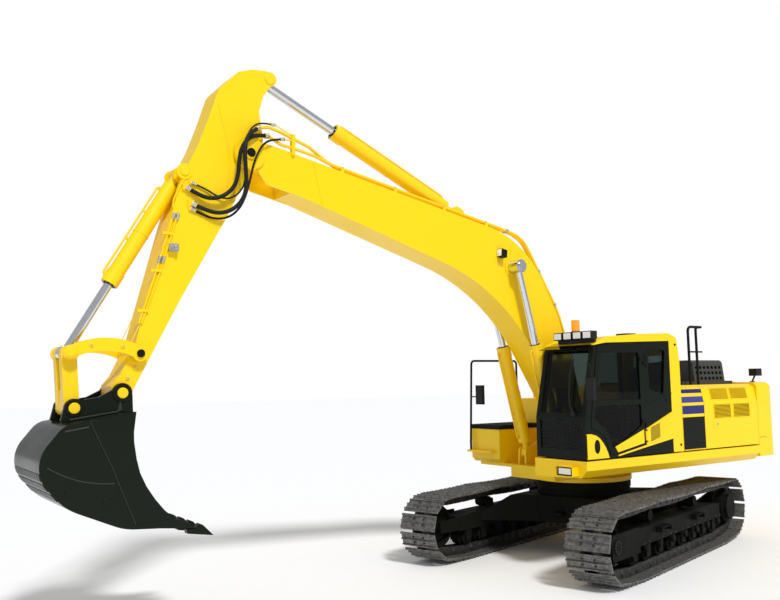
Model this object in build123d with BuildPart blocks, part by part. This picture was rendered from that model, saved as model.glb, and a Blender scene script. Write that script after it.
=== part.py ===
"""Crawler excavator with a one-piece boom, an arm and a digging bucket.

Millimetres. The origin is on the ground under the swing centre, +X runs forward along the
boom, +Y to the operator's left, where the cab is, and +Z up. The tracks are turned by TURN
about the swing centre, as the machine stands with its upper structure swung a little.
"""
from build123d import *
import os
from math import asin, atan2, cos, degrees, hypot, radians, sin, tan

os.makedirs("parts", exist_ok=True)

# Undercarriage
TURN = 16.0
GAUGE = 2590.0
SHOE_WIDTH = 600.0
WHEEL_BASE = 4032.0
WHEEL_HEIGHT = 500.0
PIN_RADIUS = 350.0
GROUND_RUN = 3000.0
CARRIER_SPACING = 1600.0
CARRIER_PIN_HEIGHT = 864.0
TRACK_SAG = 24.0
SHOE_COUNT = 48
GROUSER_HEIGHT = 30.0
SHOE_PLATE = 14.0
PIN_TO_SHOE = 60.0
RAIL_DEPTH = 62.0
RAIL_INNER = 55.0
RAIL_OUTER = 105.0
FRAME_HALF = 165.0
FRAME_BOTTOM = 392.0
FRAME_TOP = 620.0
FRAME_REACH = 1640.0
ROLLER_RADIUS = 98.0
ROLLER_COUNT = 8
ROLLER_SHAFT = 40.0
CARRIER_RADIUS = 75.0
RUNNING_GAP = 0.4
YOKE_IN = 118.0
YOKE_PLATE = 40.0
CAR_HALF = 560.0
CAR_BOTTOM = 480.0
CAR_TOP = 860.0
LEG_FOOT_IN = 560.0
LEG_FOOT_OUT = 1120.0
CAR_PLATE = 20.0
TOW_Z = 620.0
TOW_BORE = 22.0
TOW_HALF = 20.0
SWING_OUTER = 700.0
SWING_INNER = 560.0
SWING_BASE = 960.0
SWING_TOP = 1060.0
SWING_GAP = 0.4

# Upper structure
DECK_BOTTOM = 1120.0
DECK_TOP = 1480.0
DECK_STEP = 1290.0
DECK_HALF = 1420.0
DECK_FRONT = 1400.0
DECK_REAR = -2430.0
NOSE_TOP = 1300.0
NOSE_HALF = 455.0
NOSE_FRONT = 1040.0
BOX_REAR = 110.0
BOX_FRONT = 1000.0
PLATE = 30.0
TAIL_RADIUS = 3230.0
TAIL_TOP = 2450.0
TAIL_FOOT = 1310.0
LIFT_X = -2700.0
LIFT_Y = 600.0
LIFT_BORE = 30.0
LIFT_DEPTH = 120.0

# Cab
CAB_IN = 500.0
CAB_OUT = 1420.0
CAB_FLOOR = 1500.0
CAB_WALL = 50.0
CAB_REAR = -580.0
GLASS = 8.0
SHEET = 6.0
DOOR_GAP = 6.0
DOOR_REAR = 230.0
DOOR_FRONT = 1290.0
HINGE_X = 220.0
HINGE_Y = 1432.0
HINGE_RADIUS = 11.6
HINGE_HALF = 50.0
DOOR_HINGES = (1930.0, 2780.0)

# House behind the cab
SEAM_FRONT = -590.0
SEAM_MIDDLE = -1100.0
TANK_REAR = -930.0
TANK_IN = -560.0
PANEL = 40.0
HOUSE_FLOOR = 1500.0
HOUSE_SHOULDER = 2160.0
HOUSE_TOP = 2430.0
HOUSE_TOP_HALF = 1290.0
PANEL_GAP = 6.0
RIGHT_SEAM = -1640.0
RIGHT_SEAM_GAP = 16.0
HOOD_FRONT = -1150.0
HOOD_LEFT = 1010.0
HOOD_RIGHT = -640.0
HOOD_PLATE = 50.0
GUARD_TOP = 2810.0

# Pins of the boom, arm and bucket, as (forward, up)
BOOM_FOOT = (335.0, 2005.0)
ARM_PIVOT = (5569.0, 5251.0)
BUCKET_PIN = (6999.0, 2488.0)
LINK_PIN = (7476.0, 2346.0)
LEVER_PIN = (6829.0, 2898.0)
ROD_PIN = (7521.0, 2907.0)
BOOM_ROD_PIN = (1520.0, 4155.0)
BOOM_TUBE_FOOT = (800.0, 1470.0)
ARM_TUBE_FOOT = (2386.0, 4892.0)
ARM_ROD_PIN = (5292.0, 6218.0)
BUCKET_TUBE_FOOT = (6341.0, 4941.0)

# Widths across the front, each as half of the whole
BOOM_HALF = 235.0
BOOM_PLATE = 14.0
FOOT_HALF = 255.0
FORK_IN = 210.0
FORK_OUT = 262.0
ARM_HALF = 200.0
ARM_PLATE = 12.0
SIDE_GAP = 7.0
EYE_HALF = 60.0
EAR_PLATE = 50.0
LEVER_PLATE = 40.0
LINK_HALF = 190.0
BUCKET_HALF = 620.0
BUCKET_PLATE = 25.0
TOOTH_COUNT = 5
TOOTH_WIDTH = 95.0

# Cylinders
BOOM_CYLINDER_Y = 350.0
BOOM_TUBE = 95.0
BOOM_ROD = 52.0
BOOM_GLAND = 1630.0
ARM_TUBE = 100.0
ARM_ROD = 55.0
ARM_GLAND = 2116.0
BUCKET_TUBE = 88.0
BUCKET_ROD = 48.0
BUCKET_GLAND = 1490.0
TUBE_WALL = 14.0
GLAND_LENGTH = 150.0
GLAND_LIP = 8.0
ROD_GAP = 0.4
NECK = 85.0
PIN_GAP = 0.4


def swung(x, y, z, turn=0.0):
    """A point or direction of the straight machine, turned about the swing centre."""
    return Vector(x, y, z).rotate(Axis.Z, turn)


def side(y, turn=0.0):
    """The upright plane along the machine at y: forward, then up."""
    return Plane(swung(0, y, 0, turn), x_dir=swung(1, 0, 0, turn), z_dir=swung(0, -1, 0, turn))


def cross(x, turn=0.0):
    """The upright plane across the machine at x: left, then up."""
    return Plane(swung(x, 0, 0, turn), x_dir=swung(0, 1, 0, turn), z_dir=swung(1, 0, 0, turn))


def level(z, turn=0.0):
    """The level plane at z: forward, then left."""
    return Plane((0, 0, z), x_dir=swung(1, 0, 0, turn), z_dir=(0, 0, 1))


def shape(points, plane, inset=0.0):
    """A closed face through points. A third number on a point rounds that corner."""
    with BuildSketch(plane) as drawn:
        with BuildLine():
            Polyline(*[point[:2] for point in points], close=True)
        make_face()
        for point in points:
            if len(point) == 3:
                corner = drawn.vertices().sort_by_distance(Vector(point[0], point[1], 0))[0]
                fillet(corner, point[2])
        if inset:
            offset(amount=-inset, kind=Kind.INTERSECTION, mode=Mode.REPLACE)
    return drawn.sketch


def slab(points, y_low, y_high, turn=0.0, mode=Mode.ADD, inset=0.0):
    """A side outline, given a width from y_low to y_high."""
    extrude(shape(points, side(y_low, turn), inset), amount=y_low - y_high, mode=mode)


def beam(points, x_low, x_high, turn=0.0, mode=Mode.ADD):
    """A cross-section, given a length from x_low to x_high."""
    extrude(shape(points, cross(x_low, turn)), amount=x_high - x_low, mode=mode)


def layer(points, z_low, z_high, turn=0.0, mode=Mode.ADD, inset=0.0):
    """A plan outline, given a height from z_low to z_high."""
    extrude(shape(points, level(z_low, turn), inset), amount=z_high - z_low, mode=mode)


def block(x, y, z, turn=0.0, mode=Mode.ADD):
    """A box from three (low, high) pairs."""
    corners = [(x[0], y[0]), (x[1], y[0]), (x[1], y[1]), (x[0], y[1])]
    layer(corners, z[0], z[1], turn, mode)


def spun(points, x, y, z, turn=0.0, mode=Mode.ADD):
    """A turned piece about a cross axis: points are (radius, offset to the left)."""
    centre = swung(x, y, z, turn)
    plane = Plane(centre, x_dir=(0, 0, 1), z_dir=swung(-1, 0, 0, turn))
    revolve(shape(points, plane), axis=Axis(centre, swung(0, 1, 0, turn)), mode=mode)


def drum(pin, radius, y_low, y_high, turn=0.0, mode=Mode.ADD):
    """A round bar across the machine at pin."""
    with BuildSketch(side(y_low, turn)) as disc:
        with Locations(pin):
            Circle(radius)
    extrude(disc.sketch, amount=y_low - y_high, mode=mode)


def round_bar(start, end, radius, mode=Mode.ADD):
    """A round bar between two points in space."""
    run = Vector(*end) - Vector(*start)
    with BuildSketch(Plane(start, z_dir=run)) as disc:
        Circle(radius)
    extrude(disc.sketch, amount=run.length, mode=mode)


def along(start, end, distance):
    """The point of a side view that lies a distance from start towards end."""
    span = hypot(end[0] - start[0], end[1] - start[1])
    share = distance / span
    return (start[0] + (end[0] - start[0]) * share, start[1] + (end[1] - start[1]) * share)


def finish(built, name):
    """Label a finished piece and write it."""
    built.part.label = name
    export_step(built.part, f"parts/{name}.step")


# The track's pin line: ground run, ramps, wheels and the sagging top run
GROUND_PIN = GROUSER_HEIGHT + SHOE_PLATE + PIN_TO_SHOE
WHEEL_X = WHEEL_BASE / 2


def touch(x, z, above):
    """Where the line from a point touches the front wheel's pin circle."""
    gap_x = WHEEL_X - x
    gap_z = WHEEL_HEIGHT - z
    reach = hypot(gap_x, gap_z)
    spread = asin(PIN_RADIUS / reach)
    lean = atan2(gap_z, gap_x) + (spread if above else -spread)
    length = (reach**2 - PIN_RADIUS**2) ** 0.5
    return (x + length * cos(lean), z + length * sin(lean))


RAMP_END = touch(GROUND_RUN / 2, GROUND_PIN, False)
TOP_START = touch(CARRIER_SPACING / 2, CARRIER_PIN_HEIGHT, True)


def mirrored(point):
    return (-point[0], point[1])


def lowered(a, b, drop):
    return ((a[0] + b[0]) / 2, (a[1] + b[1]) / 2 - drop)


CARRIER_PIN = (CARRIER_SPACING / 2, CARRIER_PIN_HEIGHT)
GROUND_END = (GROUND_RUN / 2, GROUND_PIN)
WHEEL_END = (WHEEL_X + PIN_RADIUS, WHEEL_HEIGHT)
with BuildLine() as pin_line:
    Line(mirrored(GROUND_END), GROUND_END)
    Line(GROUND_END, RAMP_END)
    ThreePointArc(RAMP_END, WHEEL_END, TOP_START)
    ThreePointArc(TOP_START, lowered(TOP_START, CARRIER_PIN, TRACK_SAG / 2), CARRIER_PIN)
    ThreePointArc(CARRIER_PIN, lowered(CARRIER_PIN, mirrored(CARRIER_PIN), TRACK_SAG), mirrored(CARRIER_PIN))
    ThreePointArc(
        mirrored(CARRIER_PIN), lowered(mirrored(TOP_START), mirrored(CARRIER_PIN), TRACK_SAG / 2),
        mirrored(TOP_START),
    )
    ThreePointArc(mirrored(TOP_START), mirrored(WHEEL_END), mirrored(RAMP_END))
    Line(mirrored(RAMP_END), mirrored(GROUND_END))
PIN_WIRE = pin_line.wire()
PINS = [PIN_WIRE.position_at(number / SHOE_COUNT) for number in range(SHOE_COUNT)]


def outward(number, height):
    """The point a height outside a pin, square to the track's run there."""
    before = PINS[number - 1]
    after = PINS[(number + 1) % SHOE_COUNT]
    run = (after - before).normalized()
    half_turn = radians((after - PINS[number]).get_angle(PINS[number] - before) / 2)
    point = PINS[number] + Vector(run.Y, -run.X) * height / cos(half_turn)
    return (point.X, point.Y)


def shoe_outline():
    """The outer outline of all shoes, each with three ridges."""
    base = PIN_TO_SHOE + SHOE_PLATE
    tip = base + GROUSER_HEIGHT
    ridges = [(0.08, tip), (0.16, base), (0.42, base), (0.50, tip), (0.58, base), (0.84, base), (0.92, tip)]
    points = []
    for number in range(SHOE_COUNT):
        start = PINS[number]
        run = PINS[(number + 1) % SHOE_COUNT] - start
        out = Vector(run.Y, -run.X).normalized()
        points.append(outward(number, base))
        for share, height in ridges:
            point = start + run * share + out * height
            points.append((point.X, point.Y))
    return points


def ring(outer, inner, y_low, y_high):
    """A closed band between two outlines round the track."""
    slab(outer, y_low, y_high, TURN)
    slab(inner, y_low, y_high, TURN, Mode.SUBTRACT)


SIDES = {"left": 1, "right": -1}
RAIL_FACE = [outward(number, PIN_TO_SHOE + 2) for number in range(SHOE_COUNT)]
PLATE_FACE = [outward(number, PIN_TO_SHOE) for number in range(SHOE_COUNT)]
RAIL_BACK = [outward(number, -RAIL_DEPTH) for number in range(SHOE_COUNT)]

for name, hand in SIDES.items():
    middle = hand * GAUGE / 2
    with BuildPart() as track:
        slab(shoe_outline(), middle - SHOE_WIDTH / 2, middle + SHOE_WIDTH / 2, TURN)
        slab(PLATE_FACE, middle - SHOE_WIDTH / 2, middle + SHOE_WIDTH / 2, TURN, Mode.SUBTRACT)
        for rail in (-1, 1):
            low = middle + rail * (RAIL_INNER + RAIL_OUTER) / 2 - (RAIL_OUTER - RAIL_INNER) / 2
            with BuildPart(mode=Mode.PRIVATE) as band:
                ring(RAIL_FACE, RAIL_BACK, low, low + RAIL_OUTER - RAIL_INNER)
            add(band.part)
    finish(track, f"track_{name}")

# Front idler wheels, held in the frame's yoke
HALF_PITCH = (PINS[1] - PINS[0]).length / 2
IDLER_RADIUS = (PIN_RADIUS**2 - HALF_PITCH**2) ** 0.5 - RAIL_DEPTH - 2
for name, hand in SIDES.items():
    middle = hand * GAUGE / 2
    with BuildPart() as idler:
        wheel = [
            (0, -112), (95, -112), (95, -60), (IDLER_RADIUS - 60, -45), (IDLER_RADIUS - 40, -100),
            (IDLER_RADIUS, -100), (IDLER_RADIUS, -50), (IDLER_RADIUS + 30, -44), (IDLER_RADIUS + 30, 44),
            (IDLER_RADIUS, 50), (IDLER_RADIUS, 100), (IDLER_RADIUS - 40, 100), (IDLER_RADIUS - 60, 45),
            (95, 60), (95, 112), (0, 112),
        ]
        spun(wheel, WHEEL_X, middle, WHEEL_HEIGHT, TURN)
        drum(
            (WHEEL_X, WHEEL_HEIGHT), ROLLER_SHAFT, middle - YOKE_IN + RUNNING_GAP,
            middle + YOKE_IN - RUNNING_GAP, TURN,
        )
    finish(idler, f"idler_{name}")

# Rear sprockets with their final drive housings
TEETH = 20
TOOTH_TIP = PIN_RADIUS + 12
TOOTH_ROOT = PIN_RADIUS - 34
for name, hand in SIDES.items():
    middle = hand * GAUGE / 2
    outside = hand * 215
    inside = -hand * (YOKE_IN + RUNNING_GAP)
    with BuildPart() as sprocket:
        with BuildSketch(side(middle - 40, TURN)) as rim:
            with BuildLine():
                corners = []
                for tooth in range(TEETH):
                    for share, radius in (
                        (0.0, TOOTH_ROOT), (0.3, TOOTH_ROOT), (0.55, TOOTH_TIP), (0.75, TOOTH_TIP),
                    ):
                        angle = radians(360 / TEETH * (tooth + share))
                        corners.append((-WHEEL_X + radius * cos(angle), WHEEL_HEIGHT + radius * sin(angle)))
                Polyline(*corners, close=True)
            make_face()
        extrude(rim.sketch, amount=-80)
        low, high = sorted((middle + inside, middle + hand * 150))
        drum((-WHEEL_X, WHEEL_HEIGHT), 235, low, high, TURN)
        low, high = sorted((middle + hand * 150, middle + outside))
        drum((-WHEEL_X, WHEEL_HEIGHT), 190, low, high, TURN)
    finish(sprocket, f"final_drive_{name}")

# Track frames, with the idler's yoke in front and the final drive's plate behind
for name, hand in SIDES.items():
    middle = hand * GAUGE / 2
    body = [
        (-FRAME_REACH, FRAME_BOTTOM), (FRAME_REACH, FRAME_BOTTOM), (FRAME_REACH, 590),
        (FRAME_REACH - 300, FRAME_TOP), (-FRAME_REACH + 300, FRAME_TOP), (-FRAME_REACH, 590),
    ]
    with BuildPart() as frame:
        slab(body, middle - FRAME_HALF, middle + FRAME_HALF, TURN)
        slab(
            body, middle - FRAME_HALF + CAR_PLATE, middle + FRAME_HALF - CAR_PLATE, TURN,
            Mode.SUBTRACT, CAR_PLATE,
        )
        yoke = [(FRAME_REACH - 60, 400), (WHEEL_X + 90, 430), (WHEEL_X + 90, 580), (FRAME_REACH - 60, 590)]
        for cheek in (-1, 1):
            low, high = sorted((middle + cheek * YOKE_IN, middle + cheek * (YOKE_IN + YOKE_PLATE)))
            slab(yoke, low, high, TURN)
        guard = [
            (FRAME_REACH - 300, 330), (WHEEL_X + 120, 330, 60), (WHEEL_X + 120, 650, 60),
            (FRAME_REACH - 300, 650),
        ]
        low, high = sorted((middle + hand * (YOKE_IN + YOKE_PLATE), middle + hand * 190))
        slab(guard, low, high, TURN)
        low, high = sorted((middle - hand * (YOKE_IN + 2 * RUNNING_GAP), middle - hand * FRAME_HALF))
        slab(
            [
                (-FRAME_REACH + 200, 400), (-FRAME_REACH + 200, 600), (-WHEEL_X, 690, 90),
                (-WHEEL_X - 190, 500), (-WHEEL_X, 310, 90),
            ],
            low, high, TURN,
        )
    finish(frame, f"track_frame_{name}")

# Track rollers under the frames, each with its two shaft collars
ROLLER_Z = GROUND_PIN + RAIL_DEPTH + ROLLER_RADIUS + 0.2
for name, hand in SIDES.items():
    middle = hand * GAUGE / 2
    with BuildPart() as rollers:
        for number in range(ROLLER_COUNT):
            x = -GROUND_RUN / 2 + 90 + number * (GROUND_RUN - 180) / (ROLLER_COUNT - 1)
            roller = [
                (0, -112), (70, -112), (ROLLER_RADIUS, -106), (ROLLER_RADIUS, -50), (ROLLER_RADIUS + 22, -42),
                (ROLLER_RADIUS + 22, 42), (ROLLER_RADIUS, 50), (ROLLER_RADIUS, 106), (70, 112), (0, 112),
            ]
            spun(roller, x, middle, ROLLER_Z, TURN)
            for end in (-1, 1):
                low, high = sorted((middle + end * 110, middle + end * 150))
                slab(
                    [
                        (x - 60, ROLLER_Z - 45), (x + 60, ROLLER_Z - 45), (x + 75, FRAME_BOTTOM),
                        (x - 75, FRAME_BOTTOM),
                    ],
                    low, high, TURN,
                )
    finish(rollers, f"track_rollers_{name}")

# Carrier rollers on posts above the frames
CARRIER_Z = CARRIER_PIN_HEIGHT - RAIL_DEPTH - CARRIER_RADIUS - 8
for name, hand in SIDES.items():
    middle = hand * GAUGE / 2
    with BuildPart() as carriers:
        for end in (-1, 1):
            x = end * CARRIER_SPACING / 2
            carrier = [
                (0, -105), (CARRIER_RADIUS, -105), (CARRIER_RADIUS, -52), (CARRIER_RADIUS + 14, -46),
                (CARRIER_RADIUS + 14, 46), (CARRIER_RADIUS, 52), (CARRIER_RADIUS, 105), (0, 105),
            ]
            spun(carrier, x, middle, CARRIER_Z, TURN)
            low, high = sorted((middle - hand * 100, middle - hand * 150))
            slab(
                [
                    (x - 70, FRAME_TOP), (x + 70, FRAME_TOP), (x + 45, CARRIER_Z + 50),
                    (x - 45, CARRIER_Z + 50),
                ],
                low, high, TURN,
            )
    finish(carriers, f"carrier_rollers_{name}")

# Car body: a box with four legs to the track frames, and the bearing's seat
LEG_END = GAUGE / 2 - FRAME_HALF
CAR_FACE = CAR_HALF + 180
TOW_X = CAR_FACE + 70
car_plan = [
    (CAR_HALF + 180, -380), (CAR_HALF + 180, 380), (
        LEG_FOOT_OUT, LEG_END,
    ), (LEG_FOOT_IN, LEG_END), (330, CAR_HALF + 170),
    (-330, CAR_HALF + 170), (-LEG_FOOT_IN, LEG_END), (
        -LEG_FOOT_OUT, LEG_END,
    ), (-CAR_HALF - 180, 380), (-CAR_HALF - 180, -380),
    (
        -LEG_FOOT_OUT, -LEG_END,
    ), (-LEG_FOOT_IN, -LEG_END), (-330, -CAR_HALF - 170), (330, -CAR_HALF - 170), (LEG_FOOT_IN, -LEG_END),
    (LEG_FOOT_OUT, -LEG_END),
]
leg_room = FRAME_TOP - 30


def car_box(wall):
    """The car body's closed shape, drawn in by a wall's thickness."""
    with BuildPart() as box:
        layer(car_plan, CAR_BOTTOM + wall, CAR_TOP - wall, TURN, inset=wall)
        for hand in (-1, 1):
            slope = [
                (hand * LEG_END, leg_room - wall), (hand * (LEG_END + 10), leg_room - wall),
                (
                    hand * (LEG_END + 10), CAR_TOP + 10,
                ), (hand * 720, CAR_TOP + 10), (hand * 720, CAR_TOP - wall),
            ]
            beam(slope, -2000, 2000, TURN, Mode.SUBTRACT)
    return box.part


with BuildPart() as car_body:
    add(car_box(0))
    add(car_box(CAR_PLATE), mode=Mode.SUBTRACT)
    with BuildSketch(Plane.XY.offset(CAR_BOTTOM - 5)) as access:
        Circle(220)
    extrude(access.sketch, amount=CAR_PLATE + 10, mode=Mode.SUBTRACT)
    with BuildSketch(Plane.XY.offset(CAR_TOP - CAR_PLATE)) as seat_ring:
        Circle(SWING_OUTER - 10)
        Circle(SWING_INNER - 60, mode=Mode.SUBTRACT)
    extrude(seat_ring.sketch, amount=SWING_BASE - CAR_TOP + CAR_PLATE)
    for end in (-1, 1):
        tow = [
            (end * (CAR_FACE - 10), -100), (end * (TOW_X + 20), -70, 30), (end * (TOW_X + 60), 0, 40),
            (end * (TOW_X + 20), 70, 30), (end * (CAR_FACE - 10), 100),
        ]
        layer(tow, TOW_Z - TOW_HALF, TOW_Z + TOW_HALF, TURN)
        eye = swung(end * TOW_X, 0, TOW_Z, TURN)
        reach = Vector(0, 0, TOW_HALF + 5)
        round_bar(eye - reach, eye + reach, TOW_BORE, Mode.SUBTRACT)
finish(car_body, "car_body")

with BuildPart() as swing_bearing:
    with BuildSketch(Plane.XY.offset(SWING_BASE)) as race:
        Circle(SWING_OUTER)
        Circle(SWING_INNER, mode=Mode.SUBTRACT)
    extrude(race.sketch, amount=SWING_TOP - SWING_BASE)
finish(swing_bearing, "swing_bearing")

# Upper structure: centre frame, side decks and the boom's bracket plates
BRACKET_IN = FOOT_HALF + SIDE_GAP
BRACKET_OUT = BRACKET_IN + PLATE
LUG_IN = BOOM_CYLINDER_Y + EYE_HALF - 10 + SIDE_GAP
LUG_OUT = LUG_IN + PLATE
with BuildPart() as revolving_frame:
    with BuildSketch(Plane.XY.offset(SWING_TOP + SWING_GAP)) as flange:
        Circle(SWING_OUTER + 20)
    extrude(flange.sketch, amount=DECK_BOTTOM - SWING_TOP - SWING_GAP)
    block((DECK_REAR, NOSE_FRONT), (-NOSE_HALF, NOSE_HALF), (DECK_BOTTOM, NOSE_TOP))
    block(
        (DECK_REAR + PLATE, NOSE_FRONT - PLATE), (-NOSE_HALF + PLATE, NOSE_HALF - PLATE),
        (DECK_BOTTOM + PLATE, NOSE_TOP - PLATE), mode=Mode.SUBTRACT,
    )
    bracket = [
        (-620, NOSE_TOP - 5), (915, NOSE_TOP - 5), (915, 1530, 70), (800, 1560), (640, 1640, 60),
        (500, 2040), (335, 2160), (165, 2040),
    ]
    for hand in (-1, 1):
        low, high = sorted((hand * BRACKET_IN, hand * BRACKET_OUT))
        slab(bracket, low, high)
        drum(BOOM_FOOT, 175, low, high)
        low, high = sorted((hand * LUG_IN, hand * LUG_OUT))
        slab(
            [(640, NOSE_TOP - 5), (915, NOSE_TOP - 5), (900, 1530, 60), (800, 1560, 60), (700, 1530, 60)],
            low, high,
        )
        drum(
            BOOM_TUBE_FOOT, 70,
            *sorted((hand * (BRACKET_OUT - 1), hand * (BOOM_CYLINDER_Y - EYE_HALF + 10 - PIN_GAP))),
        )
        drum(
            BOOM_TUBE_FOOT, 70,
            *sorted((hand * (BOOM_CYLINDER_Y + EYE_HALF - 10 + PIN_GAP), hand * (LUG_OUT + 6))),
        )
        drum(BOOM_FOOT, 75, *sorted((hand * (FOOT_HALF + PIN_GAP), hand * (BRACKET_OUT + 18))))
    for hand in (-1, 1):
        front_x = DECK_FRONT if hand == 1 else BOX_REAR - 10
        section = [
            (hand * NOSE_HALF, DECK_STEP - 60), (hand * (DECK_HALF - 110), DECK_STEP - 30),
            (hand * DECK_HALF, DECK_STEP + 70), (hand * DECK_HALF, DECK_TOP),
            (hand * NOSE_HALF, DECK_TOP),
        ]
        inner = [
            (hand * (NOSE_HALF + PLATE), DECK_STEP - 70), (hand * (DECK_HALF - 140), DECK_STEP - 40),
            (hand * (DECK_HALF - PLATE), DECK_STEP + 75), (hand * (DECK_HALF - PLATE), DECK_TOP - 30),
            (hand * (NOSE_HALF + PLATE), DECK_TOP - 30),
        ]
        beam(section, DECK_REAR, front_x)
        beam(inner, DECK_REAR + PLATE, front_x - PLATE, mode=Mode.SUBTRACT)
    block(
        (BOX_REAR - 40, BOX_FRONT - 60), (-DECK_HALF + 140, -NOSE_HALF + PLATE),
        (DECK_STEP - 45, DECK_STEP),
    )
finish(revolving_frame, "revolving_frame")

# Counterweight: a rounded casting that wraps the rear of the house
tail = [
    (DECK_REAR, -DECK_HALF), (-2900, -DECK_HALF, 260), (-TAIL_RADIUS, -500, 600),
    (-TAIL_RADIUS, 500, 600), (-2900, DECK_HALF, 260), (DECK_REAR, DECK_HALF),
]
with BuildPart() as counterweight:
    layer(tail, TAIL_FOOT, TAIL_TOP)
    top_edges = counterweight.edges().group_by(Axis.Z)[-1]
    upper_edges = top_edges.filter_by(lambda edge: edge.center().X < DECK_REAR - 20)
    fillet(upper_edges, 90)
    well = [
        (DECK_REAR, -1260), (-2840, -1260, 150), (-3080, -460), (-3080, 460), (-2840, 1260, 150),
        (DECK_REAR, 1260),
    ]
    layer(well, TAIL_FOOT + 90, TAIL_TOP - 80, mode=Mode.SUBTRACT)
    for hand in (-1, 1):
        eye = (LIFT_X, hand * LIFT_Y)
        round_bar((*eye, TAIL_TOP - LIFT_DEPTH), (*eye, TAIL_TOP - 75), LIFT_BORE + 50)
        round_bar((*eye, TAIL_TOP - LIFT_DEPTH - 5), (*eye, TAIL_TOP + 5), LIFT_BORE, Mode.SUBTRACT)
finish(counterweight, "counterweight")

with BuildPart() as engine:
    block((-2230, -1180), (-330, 330), (NOSE_TOP, 2220))
finish(engine, "engine_block")

# House sides, with a shoulder that leans in to the roof
def wall(hand, x_low, x_high, depth=0.0, mode=Mode.ADD):
    """The house's side wall as a bent plate; depth widens its inner face."""
    outer = [(DECK_HALF, HOUSE_FLOOR), (DECK_HALF, HOUSE_SHOULDER), (1372, 2385), (HOUSE_TOP_HALF, HOUSE_TOP)]
    inner = [
        (HOUSE_TOP_HALF, HOUSE_TOP - PANEL), (1340, 2362), (DECK_HALF - PANEL, HOUSE_SHOULDER - 5),
        (DECK_HALF - PANEL, HOUSE_FLOOR),
    ]
    beam([(hand * y, z) for y, z in outer + inner], x_low, x_high, mode=mode)


doors = {
    "left_front_door": (1, SEAM_MIDDLE + PANEL_GAP / 2, SEAM_FRONT),
    "left_rear_door": (1, DECK_REAR + PANEL_GAP, SEAM_MIDDLE - PANEL_GAP / 2),
    "right_front_door": (-1, RIGHT_SEAM + RIGHT_SEAM_GAP / 2, TANK_REAR),
    "right_rear_door": (-1, DECK_REAR + PANEL_GAP, RIGHT_SEAM - RIGHT_SEAM_GAP / 2),
}
for name, (hand, x_low, x_high) in doors.items():
    with BuildPart() as door:
        wall(hand, x_low, x_high)
        if name == "left_rear_door":
            for x, z, wide, high in (
                (-1290, 2222, 420, 155), (-1770, 2222, 420, 155), (-1330, 1945, 400, 190),
                (-1810, 1945, 400, 190),
            ):
                for slot in range(5):
                    block(
                        (x - wide, x), (DECK_HALF - 100, DECK_HALF + 10),
                        (z + slot * high / 5, z + slot * high / 5 + 14), mode=Mode.SUBTRACT,
                    )
        if name == "right_rear_door":
            for slot in range(9):
                block(
                    (-2330, -1760), (-DECK_HALF - 10, -DECK_HALF + 100),
                    (1700 + slot * 70, 1718 + slot * 70), mode=Mode.SUBTRACT,
                )
    finish(door, name)

ROOF_HALF = HOUSE_TOP_HALF - PANEL_GAP / 2
POST_FACE = DECK_HALF - PANEL - 0.3
posts = {
    1: (SEAM_FRONT - PANEL, SEAM_MIDDLE - PANEL, DECK_REAR + PANEL_GAP),
    -1: (TANK_REAR - PANEL, RIGHT_SEAM - PANEL / 2, DECK_REAR + PANEL_GAP),
}
with BuildPart() as house_frame:
    post = [
        (POST_FACE, DECK_TOP), (
            POST_FACE, HOUSE_SHOULDER - 8,
        ), (1338, 2345), (1270, HOUSE_TOP - PANEL), (1180, HOUSE_TOP - PANEL),
        (1180, 2350), (POST_FACE - 60, HOUSE_SHOULDER - 60), (POST_FACE - 60, DECK_TOP),
    ]
    for hand, places in posts.items():
        for x in places:
            beam([(hand * y, z) for y, z in post], x, x + PANEL)
    block((SEAM_FRONT - PANEL, SEAM_FRONT), (TANK_IN + 10, 1200), (DECK_TOP, HOUSE_TOP - PANEL))
    block((TANK_REAR - PANEL, TANK_REAR), (-1200, TANK_IN + 10), (DECK_TOP, HOUSE_TOP - PANEL))
    block(
        (TANK_REAR - PANEL, SEAM_FRONT), (TANK_IN + 10, TANK_IN + 10 + PANEL),
        (DECK_TOP, HOUSE_TOP - PANEL),
    )
    block((DECK_REAR + PANEL_GAP, SEAM_FRONT), (TANK_IN + 10, ROOF_HALF), (HOUSE_TOP - PANEL, HOUSE_TOP))
    block((DECK_REAR + PANEL_GAP, TANK_REAR), (-ROOF_HALF, TANK_IN + 20), (HOUSE_TOP - PANEL, HOUSE_TOP))
    block(
        (DECK_REAR + 120, HOOD_FRONT - 60), (HOOD_RIGHT + 60, HOOD_LEFT - 60),
        (HOUSE_TOP - PANEL - 10, HOUSE_TOP + 10), mode=Mode.SUBTRACT,
    )
finish(house_frame, "house_frame")

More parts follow.
